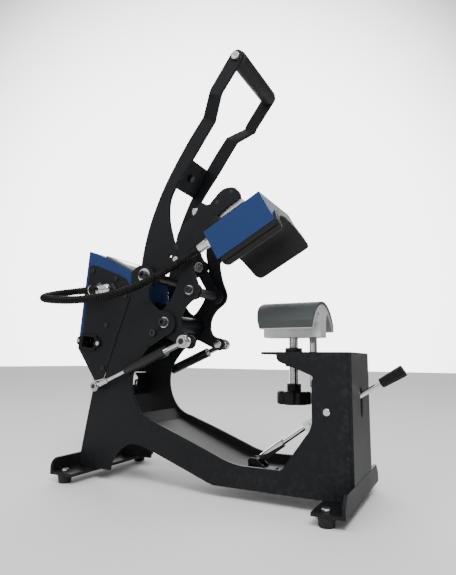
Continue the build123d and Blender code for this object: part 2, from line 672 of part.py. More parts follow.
HOSE_END = hp(-10.6, HG_H)
HOSE_ROUTE = [
    (GL_X, 165.0, 281.5), (GL_X, 197.4, 281.5), (-86.6, 220.0, 275.6), (-119.0, 220.0, 266.6), (-144.5, 194.5, 258.6),
    (-136.0, 140.0, 254.5), (-104.0, 88.0, 266.0), (-70.0, 46.0, 295.5), (-54.4, 19.0, 318.6),
    (HG_X, HOSE_END[0], HOSE_END[1]),
]
HOSE_ROUTE = [(x, y + DATUM_Y, z) for x, y, z in HOSE_ROUTE]


def route_radii(points):
    out = []
    for p, q, r in zip(points, points[1:], points[2:]):
        a, b = Vector(*q) - Vector(*p), Vector(*r) - Vector(*q)
        half = math.radians(a.get_angle(b)) / 2
        out.append(0.45 * min(a.length, b.length) / math.tan(half))
    return out


HOSE_RADII = route_radii(HOSE_ROUTE)
print("hose radii", [round(r, 1) for r in HOSE_RADII])
with BuildPart() as hose:
    with BuildLine() as hose_line:
        FilletPolyline(*HOSE_ROUTE, radius=HOSE_RADII)
    with BuildSketch(Plane(origin=HOSE_ROUTE[0], z_dir=hose_line.line % 0)):
        Circle(HOSE_R)
    sweep()
print("hose length", round(sum(e.length for e in hose_line.edges()), 1), "volume/section", round(hose.part.volume / (math.pi * HOSE_R ** 2), 1))
save(hose.part, "hose")

# -------------------------------------------------------------------- head arm
ARM_RUNS = (
    [(-49.1, 417.9), (-40.9, 417.4), (-33.5, 413.2)],
    [(-33.5, 413.2), (-20.6, 400.6)],
    [(-20.6, 400.6), (-15.6, 397.6), (-11.0, 398.8), (-5.4, 401.8), (0.2, 399.4), (1.8, 394.4)],
    [(1.8, 394.4), (5.2, 387.0), (14.5, 379.6), (27.2, 370.6), (34.8, 359.8), (37.1, 350.4), (35.9, 340.0), (33.0, 327.0),
     (31.0, 312.6), (31.4, 297.8), (36.0, 278.6), (43.4, 264.0), (54.8, 249.6)],
    [(54.8, 249.6), (63.0, 243.6), (68.6, 234.6), (69.2, 224.4), (65.0, 215.6), (57.0, 210.4)],
    [(57.0, 210.4), (15.0, 191.4)],
    [(15.0, 191.4), (8.0, 191.2), (2.8, 196.0), (2.2, 203.0), (6.6, 208.8), (13.8, 210.6), (20.6, 213.4), (24.8, 219.0),
     (26.8, 227.0)],
    [(26.8, 227.0), (25.9, 236.6), (21.0, 247.6), (13.6, 255.6), (4.6, 262.4), (-0.8, 270.0), (-1.0, 281.0), (5.0, 296.6),
     (10.0, 315.0), (11.8, 325.0)],
    [(11.8, 325.0), (11.2, 330.4), (6.6, 334.4)],
    [(6.6, 334.4), hp(-0.8, 41.4)],
    [hp(-0.8, 41.4), hp(-0.8, 49.6)],
    [hp(-0.8, 49.6), hp(25.2, 49.6)],
    [hp(25.2, 49.6), hp(25.2, 61.6)],
    [hp(25.2, 61.6), (-46.4, 389.4)],
    [(-46.4, 389.4), (-66.6, 400.9)],
    [(-66.6, 400.9), (-65.6, 408.0), (-58.4, 415.4), (-49.1, 417.9)],
)
BR_BOLTS = [hp(34.0, 80.0), hp(60.0, 80.0)]
STOP = (-5.4, 395.0)


def arm_plate(x0):
    with BuildSketch(yz(x0)) as face:
        with BuildLine():
            runs(*ARM_RUNS)
        make_face()
        with Locations(V(*C)):
            Circle(SHAFT_R + RUN, mode=Mode.SUBTRACT)
        with Locations(V(*B), V(*T_STUD)):
            Circle(4.0, mode=Mode.SUBTRACT)
        with Locations(*[V(*p) for p in BR_BOLTS]):
            Circle(3.0, mode=Mode.SUBTRACT)
    extrude(face.sketch, amount=ARM_OUT - ARM_IN)


with BuildPart() as arm_plates:
    arm_plate(-ARM_OUT)
    arm_plate(ARM_IN)
save(arm_plates.part, "arm_plates")

with BuildPart() as arm_cross_tubes:
    rod(-ARM_IN, ARM_IN, [STOP], 5.4)
    rod(-ARM_IN, ARM_IN, [C], 12.0)
    rod(-ARM_IN, ARM_IN, [C], SHAFT_R + RUN, mode=Mode.SUBTRACT)
save(arm_cross_tubes.part, "arm_cross_tubes")

with BuildPart() as link_shaft_b:
    rod(-ARM_IN, ARM_IN, [B], 7.0)
    for x0, x1 in both(LINK_OUT + 0.4, ARM_IN):
        rod(x0, x1, [B], 10.0)
    for x0, x1 in both(LINK_IN - 4.4, LINK_IN - 0.4):
        rod(x0, x1, [B], 10.0)
save(link_shaft_b.part, "link_shaft_b")

with BuildPart() as arm_fittings:
    for x0, x1 in both(ARM_IN, ARM_OUT):
        rod(x0, x1, [B], 3.9)
    for x0, x1 in both(ARM_OUT, ARM_OUT + 1.6):
        rod(x0, x1, [B], 8.2)
    for x0, x1 in both(ARM_OUT + 1.6, ARM_OUT + 5.6):
        rod(x0, x1, [B], 5.2)
    for x0, x1 in both(ARM_OUT + 3.2, ARM_OUT + 5.6):
        hexbar(x0, x1, [B], 2.9, mode=Mode.SUBTRACT)
    for x0, x1 in both(ARM_IN, 67.2):
        rod(x0, x1, [T_STUD], 4.0)
    for x0, x1 in both(ARM_OUT, 56.4):
        hexbar(x0, x1, [T_STUD], 6.4)
    for x0, x1 in both(66.0, 68.4):
        rod(x0, x1, [T_STUD], 7.0)
    for x0, x1 in both(ARM_IN - 4.4, ARM_IN):
        hexbar(x0, x1, [T_STUD], 7.0)
    q = (STOP[0] + 0.93, STOP[1] - 0.10)
    for x in (-33.0,):
        stick(x, STOP, q, 5.6, 20.0, 3.0)
        stick(x, STOP, q, 5.4, 8.4, 6.0)
        stick(x, STOP, q, 10.0, 20.6, 7.0)
save(arm_fittings.part, "arm_fittings")

# bright bracket between the arm plates, on dark posts over the cover
with BuildPart() as head_bracket:
    with BuildSketch(head_flat(58.4)):
        with Locations((0, -46.8)):
            Rectangle(2 * ARM_IN, 40.6)
    extrude(amount=6.2)
    for x0, x1 in both(ARM_IN - 3.0, ARM_IN):
        with BuildSketch(yz(x0)):
            with BuildLine():
                Polyline(*[V(*hp(s, h)) for s, h in [(26.5, 58.4), (67.1, 58.4), (67.1, 84.0), (61.0, 90.0), (32.0, 90.0), (26.5, 84.0)]], close=True)
            make_face()
            with Locations(*[V(*p) for p in BR_BOLTS]):
                Circle(3.0, mode=Mode.SUBTRACT)
        extrude(amount=x1 - x0)
save(head_bracket.part, "head_bracket")

POSTS = [(-30.0, -33.0), (30.0, -33.0), (-30.0, -60.0), (30.0, -60.0)]
with BuildPart() as head_posts:
    with BuildSketch(head_flat(COVER_H)):
        with Locations(*POSTS):
            Circle(6.5)
    extrude(amount=58.4 - COVER_H)
save(head_posts.part, "head_posts")

with BuildPart() as bracket_bolts:
    for x0, x1 in both(ARM_IN - 3.0, ARM_OUT):
        rod(x0, x1, BR_BOLTS, 2.9)
    for x0, x1 in both(ARM_IN - 6.4, ARM_IN - 3.0):
        hexbar(x0, x1, BR_BOLTS, 5.4)
    with BuildSketch(head_flat(64.6)):
        with Locations(*POSTS):
            RegularPolygon(6.2, 6)
    extrude(amount=4.4)
save(bracket_bolts.part, "bracket_bolts")

with BuildPart() as head_cover:
    with BuildSketch(head_across(0)):
        with BuildLine():
            Polyline((-COVER_W, 0), (COVER_W, 0), (COVER_W, COVER_H - 2.0), (COVER_W - 2.0, COVER_H), (-COVER_W + 2.0, COVER_H),
                     (-COVER_W, COVER_H - 2.0), close=True)
        make_face()
    extrude(amount=COVER_L)
    with BuildSketch(head_across(COVER_T)):
        with BuildLine():
            t = COVER_T
            Polyline((-COVER_W + t, -1), (COVER_W - t, -1), (COVER_W - t, COVER_H - 2.6), (COVER_W - 2.6, COVER_H - t), (-COVER_W + 2.6, COVER_H - t),
                     (-COVER_W + t, COVER_H - 2.6), close=True)
        make_face()
    extrude(amount=COVER_L - 2 * COVER_T, mode=Mode.SUBTRACT)
    # both end walls are arched over the heating platen
    with BuildSketch(head_across(-1.0)):
        with Locations((0, HEAD_CH)):
            Circle(HEAD_R + 10.6)
    extrude(amount=COVER_L + 2.0, mode=Mode.SUBTRACT)
    with BuildSketch(head_across(-1.0)):
        with Locations((COVER_W - 3.0, 1.0)):
            Rectangle(8.0, 18.0)
    extrude(amount=6.0, mode=Mode.SUBTRACT)
    with BuildSketch(HG_P.offset(-3.0)):
        Circle(5.5)
    extrude(amount=3.2, mode=Mode.SUBTRACT)
    with BuildSketch(head_flat(COVER_H - 2.0)):
        with Locations(*POSTS):
            Circle(2.0)
    extrude(amount=2.4, mode=Mode.SUBTRACT)
save(head_cover.part, "head_cover")

PL_W = 58.0
with BuildPart() as heating_platen:
    with BuildSketch(head_across(3.4)):
        with Locations((0, HEAD_CH)):
            Circle(HEAD_R + 9.6)
            Circle(HEAD_R, mode=Mode.SUBTRACT)
        with Locations((0, 20.0)):
            Rectangle(2 * PL_W, 73.0, mode=Mode.INTERSECT)
    extrude(amount=95.6)
    # rounded lower corners at the rear and the front
    with BuildSketch(yz(-70.0)) as corners:
        with BuildLine():
            Line(V(*hp(2.0, -18.0)), V(*hp(2.0, -5.0)))
            Line(V(*hp(2.0, -5.0)), V(*hp(3.4, -5.0)))
            ThreePointArc(V(*hp(3.4, -5.0)), V(*hp(6.74, -13.16)), V(*hp(14.9, -16.6)))
            Line(V(*hp(14.9, -16.6)), V(*hp(14.9, -18.0)))
            Line(V(*hp(14.9, -18.0)), V(*hp(2.0, -18.0)))
        make_face()
        with BuildLine():
            Line(V(*hp(100.0, -18.0)), V(*hp(100.0, -11.6)))
            Line(V(*hp(100.0, -11.6)), V(*hp(99.0, -11.6)))
            ThreePointArc(V(*hp(99.0, -11.6)), V(*hp(97.53, -15.1)), V(*hp(94.0, -16.6)))
            Line(V(*hp(94.0, -16.6)), V(*hp(94.0, -18.0)))
            Line(V(*hp(94.0, -18.0)), V(*hp(100.0, -18.0)))
        make_face()
    extrude(amount=140.0, mode=Mode.SUBTRACT)
save(heating_platen.part, "heating_platen")


def head_sector(r0, r1, half, w):
    """Arched strip between two radii about the head arch axis."""
    with Locations((0, HEAD_CH)):
        Circle(r1)
        Circle(r0, mode=Mode.SUBTRACT)
    a = math.radians(half)
    with BuildLine() as wedge:
        Polyline((0, HEAD_CH), (-120 * math.sin(a), HEAD_CH + 120 * math.cos(a)), (120 * math.sin(a), HEAD_CH + 120 * math.cos(a)), close=True)
    make_face(wedge.edges(), mode=Mode.INTERSECT)


with BuildPart() as heater_element:
    with BuildSketch(head_across(8.0)):
        head_sector(HEAD_R + 9.6, HEAD_R + 12.2, 44.0, 0)
    extrude(amount=84.0)
save(heater_element.part, "heater_element")

with BuildPart() as heater_insulation:
    with BuildSketch(head_across(8.0)):
        head_sector(HEAD_R + 12.2, HEAD_R + 20.0, 42.0, 0)
    extrude(amount=84.0)
    with BuildSketch(head_flat(33.0)):
        with Locations(*POSTS):
            Circle(5.0)
    extrude(amount=COVER_H - COVER_T - 33.0)
save(heater_insulation.part, "heater_insulation")

with BuildPart() as platen_rails:
    for s in (-1, 1):
        with BuildSketch(head_across(5.0)):
            with BuildLine():
                Polyline((s * PL_W, -8.0), (s * (PL_W + 1.7), -8.0), (s * (PL_W + 1.7), -0.4), (s * PL_W, -0.4), close=True)
            make_face()
        extrude(amount=90.0)
    for s in (-1, 1):
        with BuildSketch(head_across(12.0)):
            with BuildLine():
                Polyline((s * PL_W, -0.4), (s * (PL_W + 0.8), -0.4), (s * (PL_W + 0.8), 12.0), (s * PL_W, 12.0), close=True)
            make_face()
        extrude(amount=70.0)
save(platen_rails.part, "platen_rails")

# ------------------------------------------------------------------------ lever
LEV_LOW = (
    [(-1.6, 539.3), (4.9, 530.8)],
    [(4.9, 530.8), (27.0, 501.0), (46.9, 470.6), (65.4, 439.0), (80.9, 405.6), (91.0, 378.0), (98.4, 350.0), (103.4, 320.0)],
    [(103.4, 320.0), (105.6, 306.0), (103.0, 294.0), (95.0, 286.6), (85.6, 285.4), (76.0, 290.4)],
    [(76.0, 290.4), (64.0, 300.6), (52.0, 308.0), (42.0, 311.4), (34.8, 314.4), (31.0, 321.0), (32.0, 329.4), (38.0, 335.2)],
    [(38.0, 335.2), (43.0, 343.6), (47.6, 357.4), (53.1, 376.8), (55.8, 398.0), (54.0, 417.6), (44.6, 437.4), (17.3, 474.6),
     (-7.0, 509.0), (-20.7, 528.0)],
    [(-20.7, 528.0), (-1.6, 539.3)],
)
LEV_P1, LEV_P2 = (-1.6, 539.3), (-20.7, 528.0)
LEV_Q1, LEV_Q2 = (-24.2, 560.3), (-42.2, 551.3)
GRIP = (-67.3, 605.3)
BAR_P0 = (47.6, 466.3)
BAR_P1 = (BAR_P0[0] - 0.84, BAR_P0[1] - 0.543)


def joggle_section(p, q, x0, x1):
    """Plate cross-section between two profile points, spanning x0 to x1."""
    with BuildSketch(Plane(origin=(0, p[0] + DATUM_Y, p[1]), x_dir=(1, 0, 0),
                           z_dir=(0, -(q[1] - p[1]), q[0] - p[0]))) as section:
        n = math.hypot(q[0] - p[0], q[1] - p[1])
        with BuildLine():
            Polyline((x0, 0), (x1, 0), (x1, n), (x0, n), close=True)
        make_face()
    return section.sketch


def lever_plate(s):
    lo0, lo1 = sorted((s * LEV_IN, s * LEV_OUT))
    up0, up1 = sorted((s * LEV_UP_IN, s * LEV_UP_OUT))
    with BuildSketch(yz(lo0)) as low:
        with BuildLine():
            runs(*LEV_LOW)
        make_face()
        with Locations(V(*A)):
            Circle(SHAFT_R + RUN, mode=Mode.SUBTRACT)
        with Locations(V(*D)):
            Circle(4.6, mode=Mode.SUBTRACT)
        with Locations(V(51.0, 328.4)):
            Circle(2.6, mode=Mode.SUBTRACT)
    extrude(low.sketch, amount=LEV_OUT - LEV_IN)
    with BuildSketch(yz(up0)) as high:
        with BuildLine():
            Line(V(*LEV_Q1), V(-26.4, 566.2))
            Line(V(-26.4, 566.2), V(-58.9, 611.6))
            ThreePointArc(V(-58.9, 611.6), V(-73.6, 613.7), V(-75.7, 599.0))
            Line(V(-75.7, 599.0), V(-44.1, 556.7))
            Line(V(-44.1, 556.7), V(*LEV_Q2))
            Line(V(*LEV_Q2), V(*LEV_Q1))
        make_face()
        with Locations(V(*GRIP)):
            Circle(4.0, mode=Mode.SUBTRACT)
    extrude(high.sketch, amount=LEV_UP_OUT - LEV_UP_IN)
    loft([joggle_section(LEV_P1, LEV_P2, lo0, lo1), joggle_section(LEV_Q1, LEV_Q2, up0, up1)], ruled=True)


with BuildPart() as lever_plates:
    lever_plate(-1)
    lever_plate(1)
save(lever_plates.part, "lever_plates")

with BuildPart() as lever_crossbar:
    with BuildSketch(yz(-LEV_IN)):
        with BuildLine():
            Polyline(*[V(*p) for p in [(33.6, 488.0), (61.4, 445.0), (57.2, 442.3), (29.4, 485.3)]], close=True)
        make_face()
    extrude(amount=2 * LEV_IN)
    stick(0, BAR_P0, BAR_P1, -1.0, 6.0, 2.85, mode=Mode.SUBTRACT)
save(lever_crossbar.part, "lever_crossbar")

with BuildPart() as crossbar_bolt:
    stick(0, BAR_P0, BAR_P1, -6.0, 9.0, 2.8)
    stick(0, BAR_P0, BAR_P1, 5.04, 9.0, 5.4)
    stick(0, BAR_P0, BAR_P1, -4.0, -0.04, 5.0)
save(crossbar_bolt.part, "crossbar_bolt")

with BuildPart() as grip_sleeve:
    rod(-LEV_UP_IN, LEV_UP_IN, [GRIP], 12.4)
    chamfer(grip_sleeve.edges().filter_by(GeomType.CIRCLE), 1.4)
    rod(-LEV_UP_IN, LEV_UP_IN, [GRIP], 5.05, mode=Mode.SUBTRACT)
save(grip_sleeve.part, "grip_sleeve")

with BuildPart() as grip_rod:
    rod(-LEV_UP_IN, LEV_UP_IN, [GRIP], 5.0)
    for x0, x1 in both(LEV_UP_IN, LEV_UP_OUT):
        rod(x0, x1, [GRIP], 3.9)
    for x0, x1 in both(LEV_UP_OUT, LEV_UP_OUT + 4.0):
        rod(x0, x1, [GRIP], 6.0)
    for x0, x1 in both(LEV_UP_OUT + 1.8, LEV_UP_OUT + 4.0):
        hexbar(x0, x1, [GRIP], 3.0, mode=Mode.SUBTRACT)
save(grip_rod.part, "grip_rod")

with BuildPart() as link_pins_d:
    for x0, x1 in both(LINK_IN - 2.4, LEV_OUT):
        rod(x0, x1, [D], 4.5)
    for x0, x1 in both(LINK_IN - 2.4, LINK_IN - 0.5):
        rod(x0, x1, [D], 8.2)
save(link_pins_d.part, "link_pins_d")

with BuildPart() as toggle_links:
    for x0, x1 in both(LINK_IN, LINK_OUT):
        with BuildSketch(yz(x0)):
            with Locations(V(*B)):
                Circle(12.0)
            with Locations(V(*D)):
                Circle(11.4)
            n = math.hypot(D[0] - B[0], D[1] - B[1])
            with Locations(Location((V(*along(B, D, n / 2)) + (0,)), (0, 0, math.degrees(math.atan2(D[1] - B[1], D[0] - B[0]))))):
                Rectangle(n, 17.0)
            with Locations(V(*B)):
                Circle(7.0 + RUN, mode=Mode.SUBTRACT)
            with Locations(V(*D)):
                Circle(6.3, mode=Mode.SUBTRACT)
        extrude(amount=x1 - x0)
save(toggle_links.part, "toggle_links")

# ------------------------------------------------------------------ gas springs
SPRING_LEN = math.hypot(R_STUD[0] - T_STUD[0], R_STUD[1] - T_STUD[1])


def spring_rod(x):
    s = 1 if x > 0 else -1
    rod(x - s * 4.6, x + s * 4.5, [R_STUD], 7.6)
    stick(x, R_STUD, T_STUD, 6.6, 24.0, 4.4)
    stick(x, R_STUD, T_STUD, 23.0, 100.0, 3.0)
    stick(x, R_STUD, T_STUD, 93.0, 97.0, 5.0)
    rod(x - s * 4.6, x + s * 4.5, [R_STUD], 4.0 + RUN, mode=Mode.SUBTRACT)


def spring_cylinder(x):
    s = 1 if x > 0 else -1
    stick(x, R_STUD, T_STUD, 60.0, 134.0, 7.5)
    stick(x, R_STUD, T_STUD, 66.0, 130.0, 5.6, mode=Mode.SUBTRACT)
    stick(x, R_STUD, T_STUD, 60.0, 66.5, 3.0 + RUN, mode=Mode.SUBTRACT)
    stick(x, R_STUD, T_STUD, 134.0, 138.5, 3.4)
    stick(x, R_STUD, T_STUD, 138.0, SPRING_LEN - 7.6, 4.3)
    rod(x - s * 4.4, x + s * 4.4, [T_STUD], 8.6)
    rod(x - s * 4.4, x + s * 4.4, [T_STUD], 5.5, mode=Mode.SUBTRACT)


with BuildPart() as gas_rod_left:
    spring_rod(-SPRING_X)
save(gas_rod_left.part, "gas_rod_left")

with BuildPart() as gas_rod_right:
    spring_rod(SPRING_X)
save(gas_rod_right.part, "gas_rod_right")

with BuildPart() as gas_cylinder_left:
    spring_cylinder(-SPRING_X)
save(gas_cylinder_left.part, "gas_cylinder_left")

with BuildPart() as gas_cylinder_right:
    spring_cylinder(SPRING_X)
save(gas_cylinder_right.part, "gas_cylinder_right")

# ------------------------------------------------------- lower platen and screw
XZ_AT = lambda y: Plane(origin=(0, y + DATUM_Y, 0), x_dir=(1, 0, 0), z_dir=(0, -1, 0))

LIP_Z = 217.2                       # lower edge of the pad


def lip_corners():
    """The two lower rear corners of the arch are cut back."""
    for x0, x1 in both(30.0, 64.0):
        with BuildSketch(yz(x0)) as corner:
            with BuildLine():
                Polyline(*[V(*p) for p in [(-80.0, 246.0), (-87.9, 246.0), (-91.0, 237.0), (-95.2, 225.0), (-98.8, 214.0), (-80.0, 214.0)]], close=True)
            make_face()
        extrude(corner.sketch, amount=x1 - x0, mode=Mode.SUBTRACT)


with BuildPart() as lower_platen:
    with BuildSketch(XZ_AT(PLATEN_Y1 - 0.6)):
        with Locations((0, PAD_CZ)):
            Circle(ARCH_R)
            Circle(ARCH_IN, mode=Mode.SUBTRACT)
        with Locations((0, LIP_Z - 1.2 + 25.0)):
            Rectangle(120.0, 50.0, mode=Mode.INTERSECT)
        with BuildLine():
            Polyline((-13.6, 206.7), (13.6, 206.7), (13.6, 226.0), (17.0, 236.0), (22.0, 239.6), (-22.0, 239.6), (-17.0, 236.0), (-13.6, 226.0), close=True)
        make_face()
        with BuildLine():
            Polyline((-22.0, 238.4), (22.0, 238.4), (16.0, 246.8), (-16.0, 246.8), close=True)
        make_face()
    extrude(amount=PLATEN_Y1 - PLATEN_Y0 - 1.2)
    lip_corners()
    with BuildSketch(Plane.XY.offset(206.7)):
        with Locations((0, SCREW_Y + DATUM_Y)):
            Circle(5.0 + RUN)
    extrude(amount=14.0, mode=Mode.SUBTRACT)
save(lower_platen.part, "lower_platen")

with BuildPart() as silicone_pad:
    with BuildSketch(XZ_AT(PLATEN_Y1)):
        with Locations((0, PAD_CZ)):
            Circle(PAD_R)
            Circle(ARCH_R, mode=Mode.SUBTRACT)
        with Locations((0, LIP_Z + 25.0)):
            Rectangle(130.0, 50.0, mode=Mode.INTERSECT)
        # the lower edges are cut flat
        for s in (-1, 1):
            with BuildLine():
                Polyline((s * 50.07, 226.7), (s * 51.9, LIP_Z - 1.0), (s * 62.0, LIP_Z - 1.0), (s * 62.0, 226.7), close=True)
            make_face(mode=Mode.SUBTRACT)
    extrude(amount=PLATEN_Y1 - PLATEN_Y0)
    lip_corners()
save(silicone_pad.part, "silicone_pad")

with BuildPart() as guide_post:
    with BuildSketch(Plane.XY.offset(142.0)):
        with Locations((0, POST_Y + DATUM_Y)):
            Circle(POST_R)
    extrude(amount=64.7)
    chamfer(guide_post.edges().group_by(Axis.Z)[0], 0.8)
save(guide_post.part, "guide_post")

with BuildPart() as lift_screw:
    with BuildSketch(Plane.XY.offset(122.0)):
        with Locations((0, SCREW_Y + DATUM_Y)):
            Circle(SCREW_R)
    extrude(amount=84.3)
    with BuildSketch(Plane.XY.offset(206.3)):
        with Locations((0, SCREW_Y + DATUM_Y)):
            Circle(5.0)
    extrude(amount=12.0)
save(lift_screw.part, "lift_screw")

with BuildPart() as lift_knob:
    with BuildSketch(Plane.XY.offset(119.0)):
        with Locations((0, SCREW_Y + DATUM_Y)):
            Circle(22.8)
            with PolarLocations(25.6, 7):
                Circle(5.0, mode=Mode.SUBTRACT)
    extrude(amount=17.0)
    chamfer(lift_knob.faces().group_by(Axis.Z)[0].edges(), 1.2)
    chamfer(lift_knob.faces().group_by(Axis.Z)[-1].edges(), 1.8)
    with BuildSketch(Plane.XY.offset(136.0)):
        with Locations((0, SCREW_Y + DATUM_Y)):
            Circle(9.5)
    extrude(amount=10.0)
    with BuildSketch(Plane.XY.offset(121.9)):
        with Locations((0, SCREW_Y + DATUM_Y)):
            Circle(SCREW_R)
    extrude(amount=24.2, mode=Mode.SUBTRACT)
save(lift_knob.part, "lift_knob")

# ---------------------------------------------------------- cap lever and strut
CAP_D = (-math.cos(math.radians(CAP_ANGLE)), math.sin(math.radians(CAP_ANGLE)))
CAP_TIP = (CAP_PIN[0] + CAP_D[0], CAP_PIN[1] + CAP_D[1])
with BuildPart() as cap_lever_rod:
    rod(-8.0, 8.0, [CAP_PIN], 6.6)
    stick(0, CAP_PIN, CAP_TIP, 4.0, 66.0, 3.2)
    stick(0, CAP_PIN, CAP_TIP, -32.0, -4.0, 3.2)
    # fork at the rear end
    with BuildSketch(axis_plane(0, CAP_PIN, CAP_TIP, -50.0)):
        Rectangle(13.0, 12.0)
    extrude(amount=20.0)
    with BuildSketch(axis_plane(0, CAP_PIN, CAP_TIP, -51.0)):
        Rectangle(7.0, 14.0)
    extrude(amount=16.0, mode=Mode.SUBTRACT)
    rod(-8.0, 8.0, [STRUT_1], 2.4)
    rod(-8.0, 8.0, [CAP_PIN], 3.0 + RUN, mode=Mode.SUBTRACT)
save(cap_lever_rod.part, "cap_lever_rod")

with BuildPart() as cap_lever_grip:
    with BuildSketch(axis_plane(0, CAP_PIN, CAP_TIP, 65.0)):
        Circle(6.0)
    with BuildSketch(axis_plane(0, CAP_PIN, CAP_TIP, 94.0)):
        Circle(7.4)
    loft()
    stick(0, CAP_PIN, CAP_TIP, 94.0, 96.6, 6.6)
    stick(0, CAP_PIN, CAP_TIP, 64.0, 66.1, 3.2, mode=Mode.SUBTRACT)
save(cap_lever_grip.part, "cap_lever_grip")

STRUT_N = math.hypot(STRUT_1[0] - STRUT_0[0], STRUT_1[1] - STRUT_0[1])
with BuildPart() as strut_tube:
    rod(-6.0, 6.0, [STRUT_0], 4.6)
    stick(0, STRUT_0, STRUT_1, 3.5, 12.0, 4.0)
    stick(0, STRUT_0, STRUT_1, 12.0, 50.0, 5.2)
    stick(0, STRUT_0, STRUT_1, 20.0, 50.0, 3.0 + RUN, mode=Mode.SUBTRACT)
    rod(-6.0, 6.0, [STRUT_0], 2.5 + RUN, mode=Mode.SUBTRACT)
save(strut_tube.part, "strut_tube")

with BuildPart() as strut_rod:
    stick(0, STRUT_0, STRUT_1, 28.0, STRUT_N - 4.0, 3.0)
    rod(-2.8, 2.8, [STRUT_1], 6.4)
    rod(-2.8, 2.8, [STRUT_1], 3.6, mode=Mode.SUBTRACT)
save(strut_rod.part, "strut_rod")
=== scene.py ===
import json
import math
import bmesh
import bpy
from mathutils import Matrix, Vector


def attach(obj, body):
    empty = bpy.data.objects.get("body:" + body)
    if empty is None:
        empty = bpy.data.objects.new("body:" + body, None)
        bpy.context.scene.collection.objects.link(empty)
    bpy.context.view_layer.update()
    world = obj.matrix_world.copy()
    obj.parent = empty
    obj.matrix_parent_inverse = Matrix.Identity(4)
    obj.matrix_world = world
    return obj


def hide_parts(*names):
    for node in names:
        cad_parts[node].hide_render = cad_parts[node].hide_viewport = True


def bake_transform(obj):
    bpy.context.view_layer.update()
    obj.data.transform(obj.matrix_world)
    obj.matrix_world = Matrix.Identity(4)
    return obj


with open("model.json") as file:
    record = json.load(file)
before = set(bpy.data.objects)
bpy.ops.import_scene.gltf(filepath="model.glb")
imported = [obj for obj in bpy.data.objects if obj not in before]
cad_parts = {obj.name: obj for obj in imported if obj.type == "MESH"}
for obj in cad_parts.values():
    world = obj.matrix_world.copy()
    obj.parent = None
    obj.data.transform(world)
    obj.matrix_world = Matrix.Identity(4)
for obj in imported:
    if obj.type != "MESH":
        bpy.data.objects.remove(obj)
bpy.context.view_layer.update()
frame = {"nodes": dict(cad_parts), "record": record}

SCENE = bpy.context.scene
RECORD = frame["record"]
BODY = {n: b for b, ns in RECORD["behaviour"]["bodies"].items() for n in ns}
SLOT = {s["node"]: s["material_slot"] for s in RECORD["subparts"]}
DY = 0.02781


# ------------------------------------------------------------------ camera
def make_camera():
    cam = bpy.data.cameras.new("camera")
    ob = bpy.data.objects.new("camera", cam)
    SCENE.collection.objects.link(ob)
    right = Vector((0.45271, -0.89159, 0.01037))
    up = Vector((-0.14098, -0.06009, 0.98818))
    back = Vector((-0.88044, -0.44883, -0.15290))
    m = Matrix.Identity(4)
    for i in range(3):
        m[i][0], m[i][1], m[i][2] = right[i], up[i], back[i]
    m.translation = (-0.62172, -0.34175 + DY, 0.17633)
    ob.matrix_world = m
    cam.sensor_fit = "VERTICAL"
    cam.sensor_height = 36.0
    cam.lens = 475.29 / 575 * 36
    cam.shift_x = 0.0009
    cam.shift_y = -0.0023
    cam.clip_start = 0.02
    cam.clip_end = 60
    SCENE.camera = ob


make_camera()


# --------------------------------------------------------------- materials
def nodes_of(name):
    m = bpy.data.materials.new(name)
    m.use_nodes = True
    nt = m.node_tree
    return m, nt, nt.nodes["Principled BSDF"]


def coord(nt, scale=(1, 1, 1)):
    tc = nt.nodes.new("ShaderNodeTexCoord")
    mp = nt.nodes.new("ShaderNodeMapping")
    mp.inputs["Scale"].default_value = scale
    nt.links.new(tc.outputs["Object"], mp.inputs["Vector"])
    return mp.outputs["Vector"]


def noise(nt, vec, scale, detail=3.0, rough=0.55):
    n = nt.nodes.new("ShaderNodeTexNoise")
    n.inputs["Scale"].default_value = scale
    n.inputs["Detail"].default_value = detail
    n.inputs["Roughness"].default_value = rough
    nt.links.new(vec, n.inputs["Vector"])
    return n.outputs["Fac"]


def ramp(nt, fac, lo, hi, a=0.35, b=0.65):
    r = nt.nodes.new("ShaderNodeMapRange")
    r.inputs["From Min"].default_value = a
    r.inputs["From Max"].default_value = b
    r.inputs["To Min"].default_value = lo
    r.inputs["To Max"].default_value = hi
    nt.links.new(fac, r.inputs["Value"])
    return r.outputs["Result"]


def mixc(nt, fac, c1, c2):
    m = nt.nodes.new("ShaderNodeMix")
    m.data_type = "RGBA"
    m.inputs[6].default_value = (*c1, 1)
    m.inputs[7].default_value = (*c2, 1)
    nt.links.new(fac, m.inputs[0])
    return m.outputs[2]


def add(nt, a, b, op="ADD"):
    m = nt.nodes.new("ShaderNodeMath")
    m.operation = op
    for i, v in enumerate((a, b)):
        if isinstance(v, (int, float)):
            m.inputs[i].default_value = v
        else:
            nt.links.new(v, m.inputs[i])
    return m.outputs[0]


def bump(nt, bsdf, height, strength, distance=0.0002):
    b = nt.nodes.new("ShaderNodeBump")
    b.inputs["Strength"].default_value = strength
    b.inputs["Distance"].default_value = distance
    nt.links.new(height, b.inputs["Height"])
    nt.links.new(b.outputs["Normal"], bsdf.inputs["Normal"])


